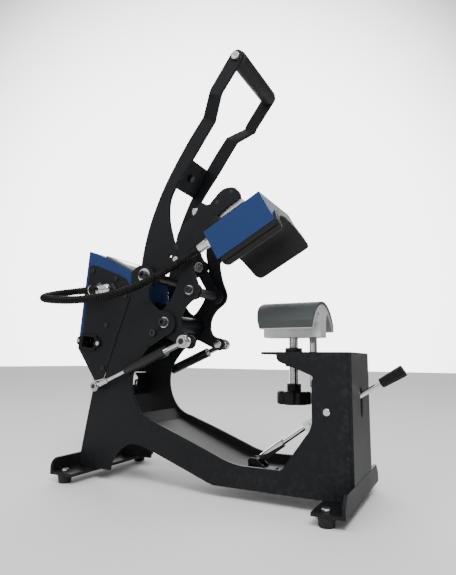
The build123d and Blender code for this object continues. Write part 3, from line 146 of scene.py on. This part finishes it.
def surface(name, c1, c2, r1, r2, metal=0.0, grain=1600.0, strength=0.2, distance=0.00012, patch=14.0, coat=0.0,
            stretch=(1, 1, 1), spec=0.5, sheen=0.0, wear=None):
    """Two close colours in soft patches, roughness that varies with them, and a fine grain in the bump."""
    m, nt, bsdf = nodes_of(name)
    v = coord(nt)
    vs = coord(nt, stretch)
    big = noise(nt, v, patch, 4.0)
    fine = noise(nt, vs, grain, 2.0)
    col = mixc(nt, ramp(nt, big, 0, 1), c1, c2)
    if wear is not None:
        # rubbed edges: the surface turns lighter where it curves outwards
        geo = nt.nodes.new("ShaderNodeNewGeometry")
        edge = ramp(nt, geo.outputs["Pointiness"], 0.0, 1.0, 0.52, 0.58)
        spot = ramp(nt, noise(nt, v, 160.0, 5.0), 0.0, 1.0, 0.45, 0.7)
        k = add(nt, add(nt, edge, spot, "MULTIPLY"), 0.55, "MULTIPLY")
        mx = nt.nodes.new("ShaderNodeMix")
        mx.data_type = "RGBA"
        nt.links.new(k, mx.inputs[0])
        nt.links.new(col, mx.inputs[6])
        mx.inputs[7].default_value = (*wear, 1)
        col = mx.outputs[2]
    nt.links.new(col, bsdf.inputs["Base Color"])
    rr = add(nt, ramp(nt, big, r1, r2), ramp(nt, fine, -0.04, 0.04))
    nt.links.new(rr, bsdf.inputs["Roughness"])
    bsdf.inputs["Metallic"].default_value = metal
    bsdf.inputs["Specular IOR Level"].default_value = spec
    bsdf.inputs["Coat Weight"].default_value = coat
    bsdf.inputs["Coat Roughness"].default_value = 0.12
    bsdf.inputs["Sheen Weight"].default_value = sheen
    bump(nt, bsdf, fine, strength, distance)
    return m


MATS = {
    "black_powder": surface("black_powder", (0.0072, 0.0079, 0.0098), (0.0096, 0.0104, 0.0126), 0.47, 0.52, grain=1500, strength=0.30, patch=9, spec=0.15, wear=(0.03, 0.031, 0.034)),
    "blue_paint": surface("blue_paint", (0.0180, 0.0400, 0.1230), (0.0188, 0.0414, 0.1270), 0.40, 0.43, grain=1700, strength=0.16, patch=5, spec=0.08),
    "black_oxide": surface("black_oxide", (0.0060, 0.0060, 0.0070), (0.0095, 0.0095, 0.0105), 0.36, 0.48, metal=0.0, grain=900, strength=0.25, patch=60),
    "zinc_bolts": surface("zinc_bolts", (0.60, 0.61, 0.62), (0.72, 0.72, 0.73), 0.20, 0.34, metal=1.0, grain=700, strength=0.2, patch=70),
    "chrome_fittings": surface("chrome_fittings", (0.56, 0.56, 0.57), (0.66, 0.66, 0.67), 0.08, 0.18, metal=1.0, grain=500, strength=0.1, patch=60),
    "bright_plate": surface("bright_plate", (0.66, 0.66, 0.67), (0.76, 0.76, 0.76), 0.34, 0.46, metal=0.55, grain=500, strength=0.3, patch=30, stretch=(1, 0.06, 1)),
    "cast_aluminium": surface("cast_aluminium", (0.56, 0.57, 0.585), (0.68, 0.685, 0.69), 0.36, 0.50, metal=0.55, grain=1100, strength=0.5, patch=60, stretch=(1, 0.2, 1)),
    "coated_casting": surface("coated_casting", (0.0028, 0.0028, 0.0031), (0.0042, 0.0042, 0.0045), 0.40, 0.50, grain=1300, strength=0.3, patch=16, spec=0.3),
    "grey_silicone": surface("grey_silicone", (0.034, 0.040, 0.042), (0.040, 0.046, 0.048), 0.52, 0.62, grain=1500, strength=0.25, patch=22, spec=0.35),
    "rubber": surface("rubber", (0.006, 0.006, 0.006), (0.010, 0.010, 0.010), 0.55, 0.75, grain=1200, strength=0.4, patch=40, spec=0.35),
    "grip_rubber": surface("grip_rubber", (0.0062, 0.0062, 0.0066), (0.0100, 0.0100, 0.0104), 0.52, 0.70, grain=2200, strength=0.6, distance=0.0002, patch=30, spec=0.35),
    "black_plastic": surface("black_plastic", (0.0040, 0.0040, 0.0044), (0.0060, 0.0060, 0.0065), 0.38, 0.48, grain=1600, strength=0.3, patch=30, spec=0.18),
    "grey_plastic": surface("grey_plastic", (0.22, 0.22, 0.23), (0.26, 0.26, 0.27), 0.45, 0.55, grain=1600, strength=0.3, patch=30),
    "red_plastic": surface("red_plastic", (0.42, 0.012, 0.012), (0.5, 0.02, 0.016), 0.22, 0.3, grain=1600, strength=0.1, patch=30),
    "grey_film": surface("grey_film", (0.105, 0.105, 0.101), (0.130, 0.130, 0.125), 0.50, 0.58, grain=2400, strength=0.3, patch=12, spec=0.10),
    "display_glass": surface("display_glass", (0.006, 0.008, 0.008), (0.009, 0.011, 0.011), 0.06, 0.1, grain=300, strength=0.02, patch=12, coat=0.6),
    "circuit_board": surface("circuit_board", (0.01, 0.12, 0.04), (0.02, 0.17, 0.06), 0.3, 0.45, grain=400, strength=0.5, patch=60),
    "insulation": surface("insulation", (0.60, 0.57, 0.48), (0.72, 0.69, 0.60), 0.8, 0.95, grain=600, strength=0.9, distance=0.0006, patch=40),
    "hose_plastic": surface("hose_plastic", (0.0022, 0.0022, 0.0025), (0.0036, 0.0036, 0.0039), 0.42, 0.52, grain=900, strength=0.2, patch=40, spec=0.16),
    "black_cylinder": surface("black_cylinder", (0.0045, 0.0045, 0.0050), (0.0065, 0.0065, 0.0070), 0.26, 0.36, grain=900, strength=0.06, patch=30, spec=0.35),
}


# ------------------------------------------------------------ mesh helpers
def finish_mesh(ob, angle=32.0, flats=True):
    me = ob.data
    me.polygons.foreach_set("use_smooth", [True] * len(me.polygons))
    me.set_sharp_from_angle(angle=math.radians(angle))
    if not flats:
        me.update()
        return
    # broad flat faces stay flat: their borders are sharp even where a narrow bevel runs along them
    bm = bmesh.new()
    bm.from_mesh(me)
    broad = set()
    for f in bm.faces:
        area_ = f.calc_area()
        if area_ > 2.5e-5 and area_ / max(e.calc_length() for e in f.edges) > 0.0032:
            broad.add(f)
    for e in bm.edges:
        if len(e.link_faces) == 2 and (e.link_faces[0] in broad or e.link_faces[1] in broad):
            if e.link_faces[0].normal.angle(e.link_faces[1].normal, 0.0) > math.radians(6):
                e.smooth = False
    bm.to_mesh(me)
    bm.free()
    me.update()


def put(ob, body, slot, mat=None, node=None):
    if ob.name not in SCENE.collection.objects:
        SCENE.collection.objects.link(ob)
    ob.data.materials.clear()
    ob.data.materials.append(mat or MATS[slot])
    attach(ob, body)
    if node:
        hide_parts(node)
    return ob


def baked(ob):
    """The object's mesh with its modifiers applied."""
    dg = bpy.context.evaluated_depsgraph_get()
    me = bpy.data.meshes.new_from_object(ob.evaluated_get(dg), depsgraph=dg)
    ob.modifiers.clear()
    old = ob.data
    ob.data = me
    bpy.data.meshes.remove(old)
    return ob


def soften(node, width=0.0005, segments=2, limit=32.0):
    """A copy of a CAD node with its triangles merged and its hard edges rounded."""
    me = frame["nodes"][node].data.copy()
    ob = bpy.data.objects.new(node + "_body", me)
    SCENE.collection.objects.link(ob)
    bm = bmesh.new()
    bm.from_mesh(me)
    bmesh.ops.remove_doubles(bm, verts=bm.verts, dist=2e-6)
    bmesh.ops.dissolve_limit(bm, angle_limit=math.radians(0.6), verts=bm.verts, edges=bm.edges)
    bm.to_mesh(me)
    bm.free()
    if width > 0:
        mod = ob.modifiers.new("bevel", "BEVEL")
        mod.width = width
        mod.segments = segments
        mod.limit_method = "ANGLE"
        mod.angle_limit = math.radians(limit)
        mod.use_clamp_overlap = True
        mod.harden_normals = False
        baked(ob)
    finish_mesh(ob)
    return put(ob, BODY[node], SLOT[node], node=node)


def islands(me):
    """Vertex groups that share no edge with each other."""
    root = list(range(len(me.vertices)))

    def find(a):
        while root[a] != a:
            root[a] = root[root[a]]
            a = root[a]
        return a

    for e in me.edges:
        a, b = find(e.vertices[0]), find(e.vertices[1])
        if a != b:
            root[a] = b
    out = {}
    for i in range(len(me.vertices)):
        out.setdefault(find(i), []).append(i)
    return list(out.values())


def part_off(ob, name, keep, slot, node):
    """Moves the faces for which keep(centre, normal) is true into a second piece of the same node."""
    me = ob.data.copy()
    twin = bpy.data.objects.new(name, me)
    SCENE.collection.objects.link(twin)
    for target, wanted in ((ob, False), (twin, True)):
        bm = bmesh.new()
        bm.from_mesh(target.data)
        gone = [f for f in bm.faces if keep(f.calc_center_median(), f.normal) != wanted]
        bmesh.ops.delete(bm, geom=gone, context="FACES")
        bm.to_mesh(target.data)
        bm.free()
        finish_mesh(target)
    return put(twin, BODY[node], slot, node=node)


def recolour(ob, node, rule):
    """Gives whole solids of a softened node another material slot: rule(low corner, high corner) names it or returns None."""
    me = ob.data
    lot = {}
    for group in islands(me):
        co = [me.vertices[i].co for i in group]
        lo = Vector([min(c[k] for c in co) for k in range(3)])
        hi = Vector([max(c[k] for c in co) for k in range(3)])
        name = rule(lo, hi)
        if name:
            for i in group:
                lot[i] = name
    made = {}
    for slot in sorted(set(lot.values())):
        picked = {i for i, n in lot.items() if n == slot}
        twin_me = me.copy()
        twin = bpy.data.objects.new(node + "_" + slot, twin_me)
        SCENE.collection.objects.link(twin)
        bm = bmesh.new()
        bm.from_mesh(twin_me)
        bm.verts.ensure_lookup_table()
        bmesh.ops.delete(bm, geom=[v for v in bm.verts if v.index not in picked], context="VERTS")
        bm.to_mesh(twin_me)
        bm.free()
        finish_mesh(twin)
        made[slot] = put(twin, BODY[node], slot, node=node)
    bm = bmesh.new()
    bm.from_mesh(me)
    bm.verts.ensure_lookup_table()
    bmesh.ops.delete(bm, geom=[v for v in bm.verts if v.index in lot], context="VERTS")
    bm.to_mesh(me)
    bm.free()
    finish_mesh(ob)
    return made


def from_bmesh(name, bm, body, slot, node=None, angle=32.0, mat=None):
    me = bpy.data.meshes.new(name)
    bm.to_mesh(me)
    bm.free()
    ob = bpy.data.objects.new(name, me)
    SCENE.collection.objects.link(ob)
    finish_mesh(ob, angle)
    return put(ob, body, slot, mat=mat, node=node)


def lathe(bm, profile, origin, axis, segs=48, closed_ends=True):
    """Revolves (distance along the axis, radius) points about an axis."""
    axis = Vector(axis).normalized()
    side = axis.orthogonal().normalized()
    other = axis.cross(side)
    o = Vector(origin)
    rings = []
    for d, r in profile:
        if r < 1e-7:
            rings.append([bm.verts.new(o + axis * d)])
        else:
            rings.append([bm.verts.new(o + axis * d + (side * math.cos(t) + other * math.sin(t)) * r)
                          for t in (2 * math.pi * i / segs for i in range(segs))])
    for a, b in zip(rings, rings[1:]):
        if len(a) == 1 and len(b) == 1:
            continue
        for i in range(segs):
            j = (i + 1) % segs
            if len(a) == 1:
                bm.faces.new((a[0], b[i], b[j]))
            elif len(b) == 1:
                bm.faces.new((a[i], b[0], a[j]))
            else:
                bm.faces.new((a[i], b[i], b[j], a[j]))
    if closed_ends:
        for ring, flip in ((rings[0], False), (rings[-1], True)):
            if len(ring) > 1:
                bm.faces.new(ring if flip else list(reversed(ring)))
    bmesh.ops.recalc_face_normals(bm, faces=bm.faces)
    return bm


# -------------------------------------------------------------------- hose
HOSE_R = 0.00575
HOSE_ROUTE = [
    (-0.0640, 0.1650, 0.2815), (-0.0640, 0.1974, 0.2815), (-0.0866, 0.2200, 0.2756), (-0.1190, 0.2200, 0.2666),
    (-0.1445, 0.1945, 0.2586), (-0.1360, 0.1400, 0.2545), (-0.1040, 0.0880, 0.2660), (-0.0700, 0.0460, 0.2955),
    (-0.0544, 0.0190, 0.3186), (-0.0530, -0.0139302, 0.3360206),
]
HOSE_ROUTE = [Vector((x, y + DY, z)) for x, y, z in HOSE_ROUTE]


def nurbs_points(route, name):
    cu = bpy.data.curves.new(name, "CURVE")
    cu.dimensions = "3D"
    cu.resolution_u = 24
    sp = cu.splines.new("NURBS")
    sp.points.add(len(route) - 1)
    for p, q in zip(sp.points, route):
        p.co = (*q, 1)
    sp.order_u = 3
    sp.use_endpoint_u = True
    ob = bpy.data.objects.new(name, cu)
    SCENE.collection.objects.link(ob)
    bpy.context.view_layer.update()
    dg = bpy.context.evaluated_depsgraph_get()
    me = bpy.data.meshes.new_from_object(ob.evaluated_get(dg), depsgraph=dg)
    pts = [v.co.copy() for v in me.vertices]
    bpy.data.meshes.remove(me)
    bpy.data.objects.remove(ob)
    bpy.data.curves.remove(cu)
    return pts


def resample(pts, step):
    total = sum((b - a).length for a, b in zip(pts, pts[1:]))
    n = max(2, int(round(total / step)))
    out, want, run = [pts[0].copy()], total / n, 0.0
    k = 1
    for a, b in zip(pts, pts[1:]):
        seg = (b - a).length
        while seg > 0 and k < n and run + seg >= k * want - 1e-12:
            out.append(a.lerp(b, (k * want - run) / seg))
            k += 1
        run += seg
    out.append(pts[-1].copy())
    return out, total


def tube(bm, pts, radii, segs=24):
    """Skin round a line, with a radius at each point, carried along without twist."""
    t = [(pts[min(i + 1, len(pts) - 1)] - pts[max(i - 1, 0)]).normalized() for i in range(len(pts))]
    side = t[0].orthogonal().normalized()
    rings = []
    for i, p in enumerate(pts):
        if i:
            side = (side - t[i] * side.dot(t[i])).normalized()
        other = t[i].cross(side)
        rings.append([bm.verts.new(p + (side * math.cos(a) + other * math.sin(a)) * radii[i])
                      for a in (2 * math.pi * k / segs for k in range(segs))])
    for a, b in zip(rings, rings[1:]):
        for i in range(segs):
            j = (i + 1) % segs
            bm.faces.new((a[i], a[j], b[j], b[i]))
    bm.faces.new(list(reversed(rings[0])))
    bm.faces.new(rings[-1])
    bmesh.ops.recalc_face_normals(bm, faces=bm.faces)


def make_hose():
    line = nurbs_points(HOSE_ROUTE, "hose_line")
    pts, total = resample(line, 0.00052)
    pitch = 0.0032
    radii = []
    for i in range(len(pts)):
        d = total * i / (len(pts) - 1)
        w = 0.5 + 0.5 * math.cos(2 * math.pi * d / pitch)
        radii.append(HOSE_R - 0.0011 * (1 - w ** 0.6))
    bm = bmesh.new()
    tube(bm, pts, radii, 28)
    me = bpy.data.meshes.new("conduit")
    bm.to_mesh(me)
    bm.free()
    ob = bpy.data.objects.new("conduit", me)
    SCENE.collection.objects.link(ob)
    finish_mesh(ob, 80, flats=False)
    me.materials.append(MATS["hose_plastic"])
    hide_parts("hose")
    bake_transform(ob)
    return ob, line


HOSE, HOSE_LINE = make_hose()

# ------------------------------------------------------------- plain copies
WIDTH = {
    "frame_side_left": 0.0007, "frame_side_right": 0.0007, "column_front_plate": 0.0007, "top_plate": 0.0006, "base_web": 0.0005,
    "foot_bars": 0.0006, "arm_plates": 0.0007, "lever_plates": 0.0007, "toggle_links": 0.0006, "control_shell": 0.0004,
    "box_side_covers": 0.0004, "head_cover": 0.0004, "heating_platen": 0.0008, "lower_platen": 0.0007, "silicone_pad": 0.0007,
    "lever_crossbar": 0.0006, "head_bracket": 0.0006, "iec_inlet": 0.0003, "lift_knob": 0.0007, "rubber_feet": 0.0007,
    "cover_screws": 0.0002, "foot_bolts": 0.0004, "socket_bolts": 0.0003, "keypad_panel": 0.0003, "display_window": 0.0002,
    "strut_bracket": 0.0004, "switch_bezel": 0.0003, "power_rocker": 0.0006, "platen_rails": 0.0003, "grip_rod": 0.0004,
}
DONE = {"hose", "box_gland", "lift_screw", "cap_lever_grip"}
SOFT = {}
for node in sorted(frame["nodes"]):
    if node not in DONE:
        SOFT[node] = soften(node, WIDTH.get(node, 0.0004))

# -------------------------------------------------- pieces of two finishes
def at(x, y, z):
    """Datum millimetres to world metres."""
    return Vector((x / 1000, y / 1000 + DY, z / 1000))


R_STUD, T_STUD = (163.3, 135.2), (11.2, 200.5)
PIN_B = (12.2, 274.3)


SEAM_P, SEAM_Q = (113.2, 272.4), (155.6, 155.0)
SEAM_N = Vector((0, SEAM_Q[1] - SEAM_P[1], SEAM_P[0] - SEAM_Q[0])).normalized()      # out of the shell, forwards and down


def cut(ob, point, normal):
    """Divides an object's faces along a plane and keeps both sides."""
    bm = bmesh.new()
    bm.from_mesh(ob.data)
    bmesh.ops.bisect_plane(bm, geom=bm.verts[:] + bm.edges[:] + bm.faces[:], dist=1e-6, plane_co=point, plane_no=normal)
    bm.to_mesh(ob.data)
    bm.free()


# the shell is divided at the seam line and at 268 mm so that its lower front wall can take painted shade
cut(SOFT["control_shell"], at(0, *SEAM_P) - SEAM_N * 0.003, SEAM_N)
cut(SOFT["control_shell"], at(0, 0, 268.0), (0, 0, 1))


def shell_painted_shade(c, n):
    """The shell's edge in the seam between a side cover and the frame plate, and the wall between the plates below it:
    painted shade, black standing in for the deep shade that falls on the blue wall there.
    """
    return c.z < 0.268 and (c - at(0, *SEAM_P)).dot(SEAM_N) > -0.003


# painted shade: these faces take the black powder finish in place of the shaded blue paint
part_off(SOFT["control_shell"], "shell_painted_shade", shell_painted_shade, "black_powder", "control_shell")

# painted shade: the arm plates' lower edge, behind the cover, is given a near-black band that stands in for the deep
# shade under the arms
SHADE_LINE = [(12.0, 344.0), (7.9, 354.1), (-11.0, 364.7), (-34.0, 380.2)]
for (y0, z0), (y1, z1) in zip(SHADE_LINE, SHADE_LINE[1:]):
    cut(SOFT["arm_plates"], at(0, y0, z0), Vector((0, z1 - z0, y0 - y1)).normalized())


def arm_shade_band(c, n):
    """Faces of the arm plates below the painted-shade line, from the rear corner to the bracket."""
    y, z = (c.y - DY) * 1000, c.z * 1000
    if not -36.0 < y < 13.0 or z < 326.0:
        return False
    if y > 12.0:
        return z < 344.0 and y > 11.0
    for (y0, z0), (y1, z1) in zip(SHADE_LINE, SHADE_LINE[1:]):
        if y1 <= y <= y0:
            return z < z0 + (z1 - z0) * (y - y0) / (y1 - y0) - 0.05
    return False


# the band takes the near-black coated_casting finish as painted shade
part_off(SOFT["arm_plates"], "arm_painted_shade", arm_shade_band, "coated_casting", "arm_plates")

SPRING_U = Vector((0, T_STUD[0] - R_STUD[0], T_STUD[1] - R_STUD[1])).normalized()


def spring_end(c, n):
    """Faces of a spring cylinder that belong to its plated end fitting."""
    return (c - at(0, *R_STUD)).dot(SPRING_U) > 0.1337


for side in ("left", "right"):
    part_off(SOFT["gas_cylinder_" + side], "cylinder_fitting_" + side, spring_end, "chrome_fittings", "gas_cylinder_" + side)


def at_pin_b(lo, hi):
    c = (lo + hi) / 2
    return "black_oxide" if (Vector((0, c.y, c.z)) - at(0, *PIN_B)).length < 0.004 else None


recolour(SOFT["arm_fittings"], "arm_fittings", at_pin_b)


def ring(bm, x0, x1, centre, r0, r1):
    """Flat ring about an X axis, its outer corner away from the middle slightly rounded."""
    s = 1 if x1 > x0 else -1
    w = abs(x1 - x0) / 1000
    r0, r1 = r0 / 1000, r1 / 1000
    lathe(bm, [(0, r0), (0, r1), (w * 0.75, r1), (w, r1 - w * 0.25), (w, r0), (0, r0)], at(x0, *centre), (s, 0, 0), 40, closed_ends=False)


def disc(bm, x0, centre, profile, s, segs=32):
    lathe(bm, [(d / 1000, r / 1000) for d, r in profile], at(x0, *centre), (s, 0, 0), segs)


bm = bmesh.new()
for s_ in (-1, 1):
    ring(bm, s_ * 48.4, s_ * 49.1, PIN_B, 5.0, 6.8)
from_bmesh("arm_pin_rings", bm, "head_arm", "chrome_fittings", node="arm_fittings")

bm = bmesh.new()
for s_ in (-1, 1):
    disc(bm, s_ * 68.3, T_STUD, [(0, 4.3), (0.35, 4.3), (0.6, 3.9), (0.6, 0)], s_)
from_bmesh("arm_stud_sockets", bm, "head_arm", "black_oxide", node="arm_fittings")
bm = bmesh.new()
for s_ in (-1, 1):
    disc(bm, s_ * 68.3, R_STUD, [(0, 3.4), (0.35, 3.4), (0.6, 3.0), (0.6, 0)], s_)
from_bmesh("rear_stud_sockets", bm, "frame", "black_oxide", node="rear_studs")

INLET = (191.0, 201.6)


def inlet_screw(lo, hi):
    c = (lo + hi) / 2
    return "zinc_bolts" if (Vector((0, c.y, c.z)) - at(0, *INLET)).length < 0.024 and c.x < 0 else None


recolour(SOFT["cover_screws"], "cover_screws", inlet_screw)

# the knob's hub stays a hair below the lift nut at the top of its travel
top = max(v.co.z for v in SOFT["lift_knob"].data.vertices)
for v in SOFT["lift_knob"].data.vertices:
    if v.co.z > top - 0.0012:
        v.co.z -= 0.0005

# bright lips of the platen casting under the pad's two lower edges
for s_, side in ((-1, "left"), (1, "right")):
    bm = bmesh.new()
    lo, hi = at(min(s_ * 51.5, s_ * 43.6), -168.6, 215.9), at(max(s_ * 51.5, s_ * 43.6), -98.6, 217.15)
    bmesh.ops.create_cube(bm, size=1.0)
    for v in bm.verts:
        v.co = Vector([lo[k] + (v.co[k] + 0.5) * (hi[k] - lo[k]) for k in range(3)])
    bmesh.ops.bevel(bm, geom=bm.edges[:], offset=0.0003, segments=2, affect="EDGES")
    from_bmesh("platen_lip_" + side, bm, BODY["lower_platen"], "cast_aluminium", node="lower_platen")

# conduit gland on the box: dark nut, plated elbow, dark ferrule and a bright end ring
GL = (150.0, 281.5)
bm = bmesh.new()
lathe(bm, [(0, 0.0094), (0.0005, 0.0102), (0.0035, 0.0102), (0.004, 0.0094)], at(-51.7, *GL), (-1, 0, 0), 6)
from_bmesh("gland_nut", bm, "frame", "black_oxide", node="box_gland", angle=25)
bm = bmesh.new()
lathe(bm, [(0, 0.0070), (0.0006, 0.0074), (0.0083, 0.0074)], at(-55.7, *GL), (-1, 0, 0), 40)
lathe(bm, [(0, 0), (0.0006, 0.0032), (0.0020, 0.0057), (0.0042, 0.0074), (0.0070, 0.0082), (0.0090, 0.0084), (0.0180, 0.0084), (0.0184, 0.0080)],
      at(-64.0, 141.6, GL[1]), (0, 1, 0), 40)
lathe(bm, [(0, 0.0096), (0.0005, 0.0104), (0.0045, 0.0104), (0.0050, 0.0096)], at(-64.0, 160.0, GL[1]), (0, 1, 0), 6)
from_bmesh("gland_body", bm, "frame", "chrome_fittings", node="box_gland", angle=25)
bm = bmesh.new()
prof = [(0.0, 0.0078), (0.0004, 0.0084)]
for k in range(4):
    a = 0.0018 + k * 0.0030
    prof += [(a, 0.0084), (a + 0.0003, 0.0080), (a + 0.0009, 0.0080), (a + 0.0012, 0.0084)]
prof += [(0.0138, 0.0084), (0.0141, 0.0080), (0.0141, 0.0060), (0.0, 0.0060), (0.0, 0.0078)]
lathe(bm, prof, at(-64.0, 165.0, GL[1]), (0, 1, 0), 40, closed_ends=False)
from_bmesh("gland_ferrule", bm, "frame", "black_plastic", node="box_gland", angle=30)
bm = bmesh.new()
lathe(bm, [(0, 0.0060), (0, 0.0078), (0.0003, 0.0082), (0.0015, 0.0082), (0.0018, 0.0078), (0.0018, 0.0060), (0, 0.0060)],
      at(-64.0, 179.2, GL[1]), (0, 1, 0), 40, closed_ends=False)
from_bmesh("gland_ring", bm, "frame", "zinc_bolts", node="box_gland", angle=30)

# lift screw with its thread, and the plain spigot above it
bm = bmesh.new()
prof = [(0, 0.0058), (0.0006, 0.0063)]
z = 0.0006
while z < 0.0823:
    prof += [(z + 0.0002, 0.0063), (z + 0.00075, 0.0057), (z + 0.00095, 0.0057), (z + 0.0015, 0.0063)]
    z += 0.0017
prof += [(0.0841, 0.0063), (0.0843, 0.0060), (0.0843, 0.0050), (0.0959, 0.0050), (0.0963, 0.0046)]
lathe(bm, prof, at(0, -126.8, 122.0), (0, 0, 1), 40)
from_bmesh("threaded_screw", bm, BODY["lift_screw"], "chrome_fittings", node="lift_screw", angle=30)


def fluted(bm, origin, axis, profile, flutes, segs=80):
    """Revolved grip whose middle part has shallow lengthwise flutes: profile rows are distance, radius, flute depth."""
    axis = Vector(axis).normalized()
    side = axis.orthogonal().normalized()
    other = axis.cross(side)
    rings = []
    for d, r, f in profile:
        row = []
        for i in range(segs):
            t = 2 * math.pi * i / segs
            rr = r - f * (0.5 + 0.5 * math.cos(flutes * t)) ** 2
            row.append(bm.verts.new(Vector(origin) + axis * d + (side * math.cos(t) + other * math.sin(t)) * rr))
        rings.append(row)
    for a, b in zip(rings, rings[1:]):
        for i in range(segs):
            j = (i + 1) % segs
            bm.faces.new((a[i], b[i], b[j], a[j]))
    bm.faces.new(list(reversed(rings[0])))
    bm.faces.new(rings[-1])
    bmesh.ops.recalc_face_normals(bm, faces=bm.faces)


CAP_PIN, CAP_A = (-185.0, 115.9), math.radians(31.2)
rows = [(0.0640, 0.0054, 0), (0.0646, 0.0060, 0), (0.0670, 0.00612, 0), (0.0690, 0.0062, 0.0004), (0.0700, 0.00625, 0.0007)]
rows += [(0.070 + 0.0225 * k / 8, 0.00625 + 0.00107 * k / 8, 0.0007) for k in range(1, 9)]
rows += [(0.0935, 0.00735, 0.0004), (0.0945, 0.0074, 0), (0.0957, 0.0071, 0), (0.0964, 0.0063, 0), (0.0966, 0.0045, 0)]
bm = bmesh.new()
fluted(bm, at(0, *CAP_PIN), (0, -math.cos(CAP_A), math.sin(CAP_A)), rows, 10)
from_bmesh("fluted_cap_grip", bm, "cap_lever", "black_plastic", node="cap_lever_grip", angle=40)

# ------------------------------------------------------------ floor, lights
def stage_plane():
    bm = bmesh.new()
    vs = [bm.verts.new(p) for p in ((-8, -8, 0), (8, -8, 0), (8, 8, 0), (-8, 8, 0))]
    bm.faces.new(vs)
    me = bpy.data.meshes.new("floor")
    bm.to_mesh(me)
    bm.free()
    ob = bpy.data.objects.new("floor", me)
    SCENE.collection.objects.link(ob)
    m, nt, bsdf = nodes_of("floor")
    bsdf.inputs["Base Color"].default_value = (0.93, 0.93, 0.93, 1)
    bsdf.inputs["Roughness"].default_value = 0.75
    bsdf.inputs["Specular IOR Level"].default_value = 0.1
    me.materials.append(m)


def area(name, at, to, size, power, color=(1, 1, 1)):
    li = bpy.data.lights.new(name, "AREA")
    li.shape = "RECTANGLE"
    li.size, li.size_y = size
    li.energy = power
    li.color = color
    ob = bpy.data.objects.new(name, li)
    SCENE.collection.objects.link(ob)
    ob.location = at
    ob.rotation_euler = (Vector(to) - Vector(at)).to_track_quat("-Z", "Y").to_euler()


def make_world():
    """Soft studio: a bright wall behind the machine, a dimmer room in front of it."""
    w = bpy.data.worlds.new("world")
    w.use_nodes = True
    nt = w.node_tree
    bg = nt.nodes["Background"]
    bg.inputs["Color"].default_value = (1, 1, 1, 1)
    tc = nt.nodes.new("ShaderNodeTexCoord")

    def lobe(direction, low, high, top):
        dot = nt.nodes.new("ShaderNodeVectorMath")
        dot.operation = "DOT_PRODUCT"
        dot.inputs[1].default_value = Vector(direction).normalized()
        nt.links.new(tc.outputs["Generated"], dot.inputs[0])
        r = nt.nodes.new("ShaderNodeMapRange")
        r.interpolation_type = "SMOOTHSTEP"
        r.inputs["From Min"].default_value = low
        r.inputs["From Max"].default_value = high
        r.inputs["To Min"].default_value = 0.0
        r.inputs["To Max"].default_value = top
        nt.links.new(dot.outputs["Value"], r.inputs["Value"])
        return r.outputs["Result"]

    both = add(nt, lobe((0.88, 0.45, 0.15), 0.74, 0.93, 5.0), lobe((-0.80, 0.45, 0.45), 0.55, 0.98, 0.8))
    nt.links.new(add(nt, both, 0.20), bg.inputs["Strength"])
    SCENE.world = w


stage_plane()
make_world()
area("key", (-0.85, -0.55, 1.20), (0, 0.08, 0.48), (0.5, 0.6), 15)
area("top", (-0.3, 0.1, 2.3), (0, 0, 0.2), (2.4, 2.4), 20)
area("fill", (-2.0, -1.6, 0.5), (0, 0, 0.25), (1.6, 1.2), 3)
